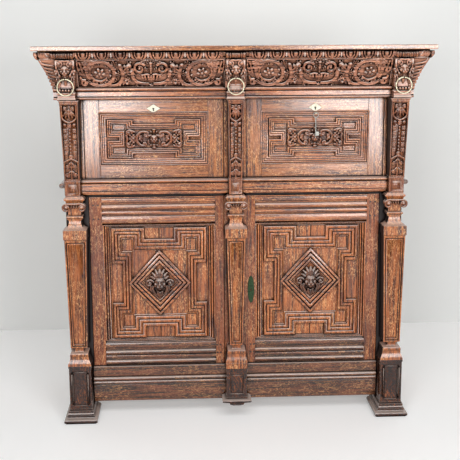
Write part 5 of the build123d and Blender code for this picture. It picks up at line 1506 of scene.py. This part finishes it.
def roller(ends):
    """A bracket's head: a turned roller with ringed ends and a carved middle."""
    low, high = ends
    y, z = -261.5, 1532
    profile = [
        (low + 0.3, 7.5), (low + 2, 9.5), (low + 5, 12.4), (low + 9, 12.8), (low + 12, 11), (low + 13, 8.6),
        (low + 14.5, 8.6), (low + 15.5, 11), (low + 18, 12.2), (low + 21, 11), (low + 22, 8.2),
    ]
    middle = (low + high) / 2
    profile += [(low + 24, 8.5), (middle, 9.5), (high - 24, 8.5)]
    profile += [(low + high - x, radius) for x, radius in reversed(profile[:11])]
    body = turned("roller", "carved", (y, z), profile)
    relief = Carving()
    for k in range(5):
        share = (k - 2) * (high - low - 48) / 5.2
        relief.lobe((share, 0, 7.6), (4.6, 9.5, 7.5))
    relief.ropes(
        [(-(high - low) / 2 + 25, -7.5, 6, 2), ((high - low) / 2 - 25, -7.5, 6, 2)],
        [(-(high - low) / 2 + 25, 7.5, 6, 2), ((high - low) / 2 - 25, 7.5, 6, 2)],
    )
    cut = relief.cut("roller_relief", "carved", on_front(middle, z, y), sizes().small_carving_grain)
    return [body, cut]


class CUPBOARD_OT_brackets(bpy.types.Operator):
    """Carve the three lion brackets, with their rollers"""

    bl_idname = "cupboard.brackets"
    bl_label = "Lion brackets"

    def execute(self, context):
        half = 37
        for word, axis, ends in (
            ("left", -BRACKET_AXIS, (-729.5, -637.5)),
            ("centre", 0, (-40.5, 40.5)),
            ("right", BRACKET_AXIS, (637.5, 729.5)),
        ):
            parts = [bracket_body(axis, half), bracket_relief(axis, half), *roller(ends)]
            boards = [("tenon", (ends[0] + 1, ends[1] - 1), (-250, -240), (1519.5, 1541))]
            if axis == 0:
                boards.append(("filler", (-40.8, 40.8), (-226, FACE), (1404.5, 1519)))
                boards.append(("upper_filler", (-40.8, 40.8), (-250, -222), (1470, 1519)))
            else:
                span = (axis - half + 2, axis + half - 2)
                boards.append(("backing", span, (-240, -197), (1404, 1440)))
                boards.append(("upper_backing", span, (-252, -228), (1466, 1519)))
            parts += [board(name, "frieze", x, y, z, arris=1) for name, x, y, z in boards]
            fitted(joined(f"{word}_bracket_carved", parts), "carcase", "dark_oak", f"{word}_bracket")
        return {"FINISHED"}


def frieze_scrollwork(name, x):
    """One drawer's carving, laid out for half its width and mirrored: end leaf, great scroll round a blossom,
    winged beast of leaves, C-scroll, and the vase over a gadrooned basket in the middle."""
    relief = Carving(1.15)
    # End leaf with its edge turned up, and a volute at its foot
    relief.rope([(291, 58, 9, 3.4), (291, 30, 9, 4), (286, 10, 9, 4), (274, -2, 8, 3.6)])
    relief.leaves(
        ((282, 52), 50, 22, -104, 9, 4),
        ((266, 54), 44, 18, -128, 8, 3),
        ((262, 56), 34, 14, -176, 7, 2),
    )
    relief.scroll((264, -42), 110, -290, (14.5, 5), (4.2, 3), 9)
    relief.rope([(282, -14, 7, 3.6), (276, -28, 8, 4), (262, -28, 8, 4)])
    # Great scroll, thick outside and curling in twice round the blossom
    outer = [
        (246, -22, 8, 4.4), (256, 8, 8, 5.2), (244, 36, 9, 5.8), (214, 52, 9, 6.2), (178, 48, 9, 6.2),
        (152, 24, 9, 6), (146, -8, 9, 6), (162, -38, 9, 5.8), (194, -54, 9, 5.4), (230, -50, 8, 4.6),
        (252, -34, 7, 3.6),
    ]
    relief.band(outer, 7)
    inner = [
        (222, 40, 8, 3.6), (240, 18, 8, 4), (240, -10, 8, 4), (222, -30, 8, 3.8), (196, -34, 8, 3.6),
        (176, -20, 8, 3.2),
    ]
    relief.rope(inner)
    relief.spray([point[:2] for point in flowing(inner, 1)], 17, 10, 8, sides=(1,), spread=58)
    relief.spray([point[:2] for point in flowing(outer, 1)], 19, 10, 8, sides=(1,), spread=52)
    relief.spray([point[:2] for point in flowing(outer[1:9], 1)], 15, 9, 7, sides=(-1,), spread=48)
    relief.flower((203, 4), 24, 13, petals=6, turn=12)
    # Tail of the scroll, running up into a winged beast of leaves
    relief.band(
        [
            (172, -52, 8, 5), (150, -54, 9, 5), (128, -44, 10, 5), (116, -24, 10, 5.4), (112, -2, 11, 6),
            (116, 16, 12, 5.6), (122, 32, 12, 4.8),
        ],
        6.5,
    )
    relief.lobe((122, 38, 13), (8.5, 7, 7), 30)
    relief.leaves(
        ((114, 6), 42, 18, 128, 13, 4),
        ((110, 0), 38, 16, 160, 11, 3),
        ((118, -6), 28, 13, 24, 10, 3),
        ((118, -26), 32, 15, -140, 10, 3),
        ((108, -30), 30, 14, -48, 10, 3),
        ((142, 34), 26, 13, 78, 9, 3),
        ((140, -38), 22, 12, 48, 9, 2),
    )
    relief.lobe((84, 36, 11), (9, 8, 7), 40)
    relief.leaf((92, 42), 18, 10, 150, height=9, lobes=2)
    # C-scroll over a cradle that holds the basket
    relief.scroll((45, 24), 150, -300, (24, 8), (5.2, 3.6), 10, steps=30)
    relief.lobe((45, 24, 12), (5, 5, 5))
    relief.band(
        [
            (69, 22, 9, 4.6), (74, 6, 9, 4.8), (72, -18, 9, 5), (58, -38, 9, 5), (34, -46, 9, 4.6),
            (10, -47, 9, 4.4),
        ],
        6.5,
    )
    relief.leaves(
        ((52, 4), 24, 13, -150, 10, 3),
        ((24, 10), 20, 12, 96, 10, 3),
        ((14, 58), 26, 12, -12, 9, 3),
        ((86, 12), 26, 14, 74, 10, 3),
        ((92, -14), 24, 13, -60, 9, 3),
        ((76, 4), 22, 11, -112, 9, 3),
        ((80, -34), 26, 12, -20, 8, 3),
    )
    relief.spray([(62, -52), (44, -56), (26, -57), (12, -58)], 12, 7, 7, sides=(1, -1), spread=30)
    for k, (u, lean) in enumerate(((10, -6), (23, -16), (35, -28))):
        relief.lobe((u, -20 + 2 * k, 9), (14.5 - 2 * k, 5.2, 6.5), 90 + lean)
    relief.rope([(4, -6, 9, 3), (22, -4, 9, 3), (38, -8, 8, 2.6)])
    relief.mirror()
    relief.lobe((0, -20, 10), (5, 14, 7))
    for level, size in ((46, 8), (34, 5.5), (24, 6.5), (14, 5), (5, 4)):
        relief.lobe((0, level, 11), (size, 5.5, 6.5))
    relief.leaves(
        ((3, 44), 20, 11, 60, 10, 2),
        ((-3, 44), 20, 11, 120, 10, 2),
    )
    relief.flower((0, -54), 9, 8, petals=5)
    place = on_slope(
        x, (FRIEZE_FOOT[0], 1406), (canted(1517), 1517), sink=14,
    ) @ Matrix.Diagonal((1, 1, 1.4, 1))
    return relief.cut(name, "frieze", place, sizes().carving_grain)


def canted(level):
    """The frieze's face at a level."""
    share = (level - FRIEZE_FOOT[1]) / (FRIEZE_HEAD[1] - FRIEZE_FOOT[1])
    return FRIEZE_FOOT[0] + (FRIEZE_HEAD[0] - FRIEZE_FOOT[0]) * share


class CUPBOARD_OT_drawer_fronts(bpy.types.Operator):
    """Carve the two canted drawer fronts"""

    bl_idname = "cupboard.drawer_fronts"
    bl_label = "Drawer fronts"

    def execute(self, context):
        for side, word in SIDES:
            ends = sided(side, 43, 631)
            outline = [(canted(1406), 1406), (canted(1409), 1409), (canted(1410) + 9.5, 1410.5),
                       (canted(1513) + 9.5, 1511.5), (canted(1513), 1513),
                       (canted(1517), 1517), (canted(1517) + 24, 1517), (canted(1406) + 24, 1406)]
            parts = [
                moulding("ground", "frieze", outline, ends),
                frieze_scrollwork(f"{word}_scrollwork", sum(ends) / 2),
            ]
            for end in ends:
                edge = sorted((end, end + (3 if end == ends[0] else -3)))
                parts.append(moulding("end", "frieze", outline[:1] + outline[5:], edge))
            fitted(
                joined(f"{word}_drawer_front_carved", parts), f"{word}_drawer", "dark_oak",
                f"{word}_drawer_front",
            )
        return {"FINISHED"}


DART_GRAIN = 1.75      # coarser than the frieze's, since the dart is repeated thirty times


def dart_unit():
    """One dart of the cornice in its bright rim, with the leaves that lean away on each side of it."""
    relief = Carving()
    relief.lobe((0, 6, 5), (9.5, 9, 10))
    relief.lobe((0, -2, 5), (7.5, 12, 9))
    relief.lobe((0, -10, 4), (3.6, 7, 6))
    for side in (-1, 1):
        relief.rope(
            [
                (side * 16.5, 15, 5, 3.2), (side * 15.5, 2, 7, 3.4), (side * 9.5, -9, 6, 3),
                (side * 2, -16, 4, 2.2),
            ],
            sides=6,
        )
        relief.rope(
            [
                (side * 28, 15, 5, 4), (side * 27.5, 3, 8, 5.4), (side * 22, -9, 6, 4.2),
                (side * 14, -16, 3, 2.4),
            ],
            sides=6,
        )
        relief.lobe((side * 36.35, 3, 4), (3.2, 13, 7))
    return relief.cut("dart", "frieze", Matrix.Identity(4), DART_GRAIN * MM, smoothing=1)


class CUPBOARD_OT_cornice(bpy.types.Operator):
    """Run the cornice round three sides and carve it with darts and leaves"""

    bl_idname = "cupboard.cornice"
    bl_label = "Cornice"

    def execute(self, context):
        section = [(-160, 1519), (-252, 1519), (-254, 1521), (-254, 1523)]
        section += arc((-240, 1546), 22, 245, 186, 8) + [(-241, 1546), (-241, 1552), (-160, 1552)]
        parts = []
        for ends in ((-636.8, -41.2), (41.2, 636.8), (-770, -730.2), (730.2, 770)):
            parts.append(moulding("front", "frieze", section, ends))
        for side in (-1, 1):
            outline = [
                (side * (BODY_HALF + 0.3), 1519.2), (side * 770, 1519.2), (side * 772, 1521),
                (side * 772, 1523),
            ]
            outline += [(side * x, z) for x, z in arc((768, 1547), 22, -78, -6, 8)]
            outline += [(side * 781, 1548), (side * 781, 1552), (side * (BODY_HALF + 0.3), 1552)]
            parts.append(moulding("side", "side", outline, (-238, BACK), axis="Y"))
            corner = Carving()
            corner.lobe((side * 756, 1537, 0), (18, 13, 16))
            corner.lobe((side * 748, 1530, -4), (22, 11, 14))
            for k in range(3):
                corner.rope([
                    (side * (752 + 9 * k), 1549, 8, 4), (side * (757 + 9 * k), 1537, 14 - 2 * k, 4.6),
                    (side * (748 + 8 * k), 1523, 6, 3.4),
                ])
            parts.append(corner.cut("corner", "frieze", on_front(0, 0, -250), sizes().carving_grain * 1.2))
        for ends in ((-730.2, -636.8), (-41.2, 41.2), (636.8, 730.2)):
            parts.append(board("behind", "frieze", ends, (-244, -160), (1519, 1552), arris=0.5))
            # Over each bracket, a strip of painted shade under the top board.
            parts.append(board("over", "shade", ends, (-252, -243), (1547, 1552), arris=0.5))
        unit = dart_unit()
        spacing = sizes().dart_spacing / MM
        lean = Matrix.Rotation(math.radians(14), 4, "X")
        upright = on_front(0, 0, 0)
        for side in (-1, 1):
            for k in range(int(582 / spacing)):
                x = side * (600.5 - k * spacing)
                parts.append(copy_of(unit, "dart", (x, -259, 1533), upright @ lean))
            for k in range(int(505 / spacing) + 1):
                turn = Matrix.Rotation(math.radians(90 * side), 4, "Z") @ upright @ lean
                parts.append(copy_of(unit, "dart", (side * 780, -236 + k * spacing, 1534), turn))
        bpy.data.objects.remove(unit)
        fitted(joined("cornice_carved", parts), "carcase", "dark_oak", "cornice")
        return {"FINISHED"}


class CUPBOARD_OT_side_friezes(bpy.types.Operator):
    """Build the canted frieze round each corner and along each side, with its cut leaves"""

    bl_idname = "cupboard.side_friezes"
    bl_label = "Side friezes"

    def execute(self, context):
        parts = []
        for side in (-1, 1):
            let_go()
            bpy.ops.mesh.primitive_plane_add(size=1)
            piece = bpy.context.object
            inner, outer = 633, 714
            lean, height = FRIEZE_FOOT[0] - FRIEZE_HEAD[0], FRIEZE_HEAD[1] - FRIEZE_FOOT[1]
            piece.data.transform(Matrix.Translation(Vector((side * (inner + outer) / 2, 45, 1404.2)) * MM)
                                 @ Matrix.Diagonal(((outer - inner) * MM, 480 * MM, 1, 1)))
            edit(piece)
            bpy.ops.mesh.select_all(action="SELECT")
            bpy.ops.mesh.extrude_region_move(TRANSFORM_OT_translate={"value": (0, 0, 114.6 * MM)})
            pick(piece, lambda v: v.co.z > 1.5 and abs(v.co.x) > 0.7, "verts")
            bpy.ops.transform.translate(value=(side * lean * MM, 0, 0))
            pick(piece, lambda v: v.co.z > 1.5 and v.co.y < 0, "verts")
            bpy.ops.transform.translate(value=(0, -lean * MM, 0))
            parts.append(closed(piece, "ground", "frieze"))
            veins = Carving()
            for k in range(8):
                v = -58 + 15 * k
                edge = 0.46 * (v + 62) + 8
                veins.rope(
                    [
                        (side * -28, v - 12, 1, 3), (side * (edge - 30) * 0.5, v - 4, 3, 4.6),
                        (side * (edge - 29), v + 6, 1, 3),
                    ],
                    sides=6,
                )
            veins.rope([(side * -23, -62, 1, 3), (side * 34, 62, 1, 3.4)])
            parts.append(veins.cut(
                "veins", "frieze", on_slope(side * 741, FRIEZE_FOOT, FRIEZE_HEAD), sizes().carving_grain,
            ))
            relief = Carving()
            for k in range(7):
                u = -198 + 66 * k
                relief.leaf((u, -48), 92, 44, 90, height=6, lobes=5)
                relief.rope([(u + 33, -52, 2, 3), (u + 33, 52, 2, 3)], sides=6)
            for v in (-55, 55):
                relief.rope([(-238, v, 2, 3.2), (238, v, 2, 3.2)], sides=6)
            rise = Vector((side * lean, 0, height)).normalized()
            across = Vector((0, side, 0))
            forward = across.cross(rise)
            turn = Matrix((across, rise, forward)).transposed().to_4x4()
            middle = Vector((side * 742.5, 26, 1461.5)) * MM - forward * 2 * MM
            parts.append(relief.cut(
                "leaves", "frieze", Matrix.Translation(middle) @ turn, sizes().carving_grain * 1.3,
            ))
        fitted(joined("side_friezes_carved", parts), "carcase", "dark_oak", "side_friezes")
        return {"FINISHED"}


class CUPBOARD_OT_keyholes(bpy.types.Operator):
    """Set the keyholes into the fall-fronts' escutcheons as dark boards of painted shade"""

    bl_idname = "cupboard.keyholes"
    bl_label = "Keyholes"

    def execute(self, context):
        for side, word in SIDES:
            x = side * 332.5
            # The keyholes are solid boards, painted shade standing in for the dark of the open holes.
            hole = board("hole", "shade", (x - 6.5, x + 6.5), (-157.9, -152), (1314, 1322.5), arris=3)
            slot = board("slot", "shade", (x - 3, x + 3), (-157.9, -152), (1308, 1318), arris=0.8)
            fitted(joined(f"{word}_flap_keyhole", [hole, slot]), f"{word}_flap", "iron")
        return {"FINISHED"}


OPERATORS = (
    CUPBOARD_OT_room,
    CUPBOARD_OT_frame_finishes,
    CUPBOARD_OT_cornice,
    CUPBOARD_OT_side_friezes,
    CUPBOARD_OT_drawer_fronts,
    CUPBOARD_OT_brackets,
    CUPBOARD_OT_frieze_rail,
    CUPBOARD_OT_pilasters,
    CUPBOARD_OT_fall_fronts,
    CUPBOARD_OT_rails,
    CUPBOARD_OT_doors,
    CUPBOARD_OT_columns,
    CUPBOARD_OT_plinths,
    CUPBOARD_OT_keyholes,
)


class CUPBOARD_PT_panel(bpy.types.Panel):
    """The cupboard's pieces, each built by its button"""

    bl_idname = "CUPBOARD_PT_panel"
    bl_label = "Carved court cupboard"
    bl_space_type = "VIEW_3D"
    bl_region_type = "UI"
    bl_category = "Cupboard"

    def draw(self, context):
        layout = self.layout
        for group in (context.scene.cupboard_colours, context.scene.cupboard_sizes):
            box = layout.box()
            for key in group.bl_rna.properties.keys():
                if key not in {"rna_type", "name"}:
                    box.prop(group, key)
        for operator in OPERATORS:
            layout.operator(operator.bl_idname)


CLASSES = (CupboardColours, CupboardSizes, *OPERATORS, CUPBOARD_PT_panel)


def register():
    """Register the classes and hang the settings on the scene."""
    for cls in CLASSES:
        bpy.utils.register_class(cls)
    bpy.types.Scene.cupboard_colours = bpy.props.PointerProperty(type=CupboardColours)
    bpy.types.Scene.cupboard_sizes = bpy.props.PointerProperty(type=CupboardSizes)


def unregister():
    """Take the settings and the classes away again."""
    del bpy.types.Scene.cupboard_sizes
    del bpy.types.Scene.cupboard_colours
    for cls in reversed(CLASSES):
        bpy.utils.unregister_class(cls)


def main():
    """Build every piece in order."""
    register()
    for operator in OPERATORS:
        group, name = operator.bl_idname.split(".")
        getattr(getattr(bpy.ops, group), name)()
    let_go()


if __name__ == "__main__":
    main()
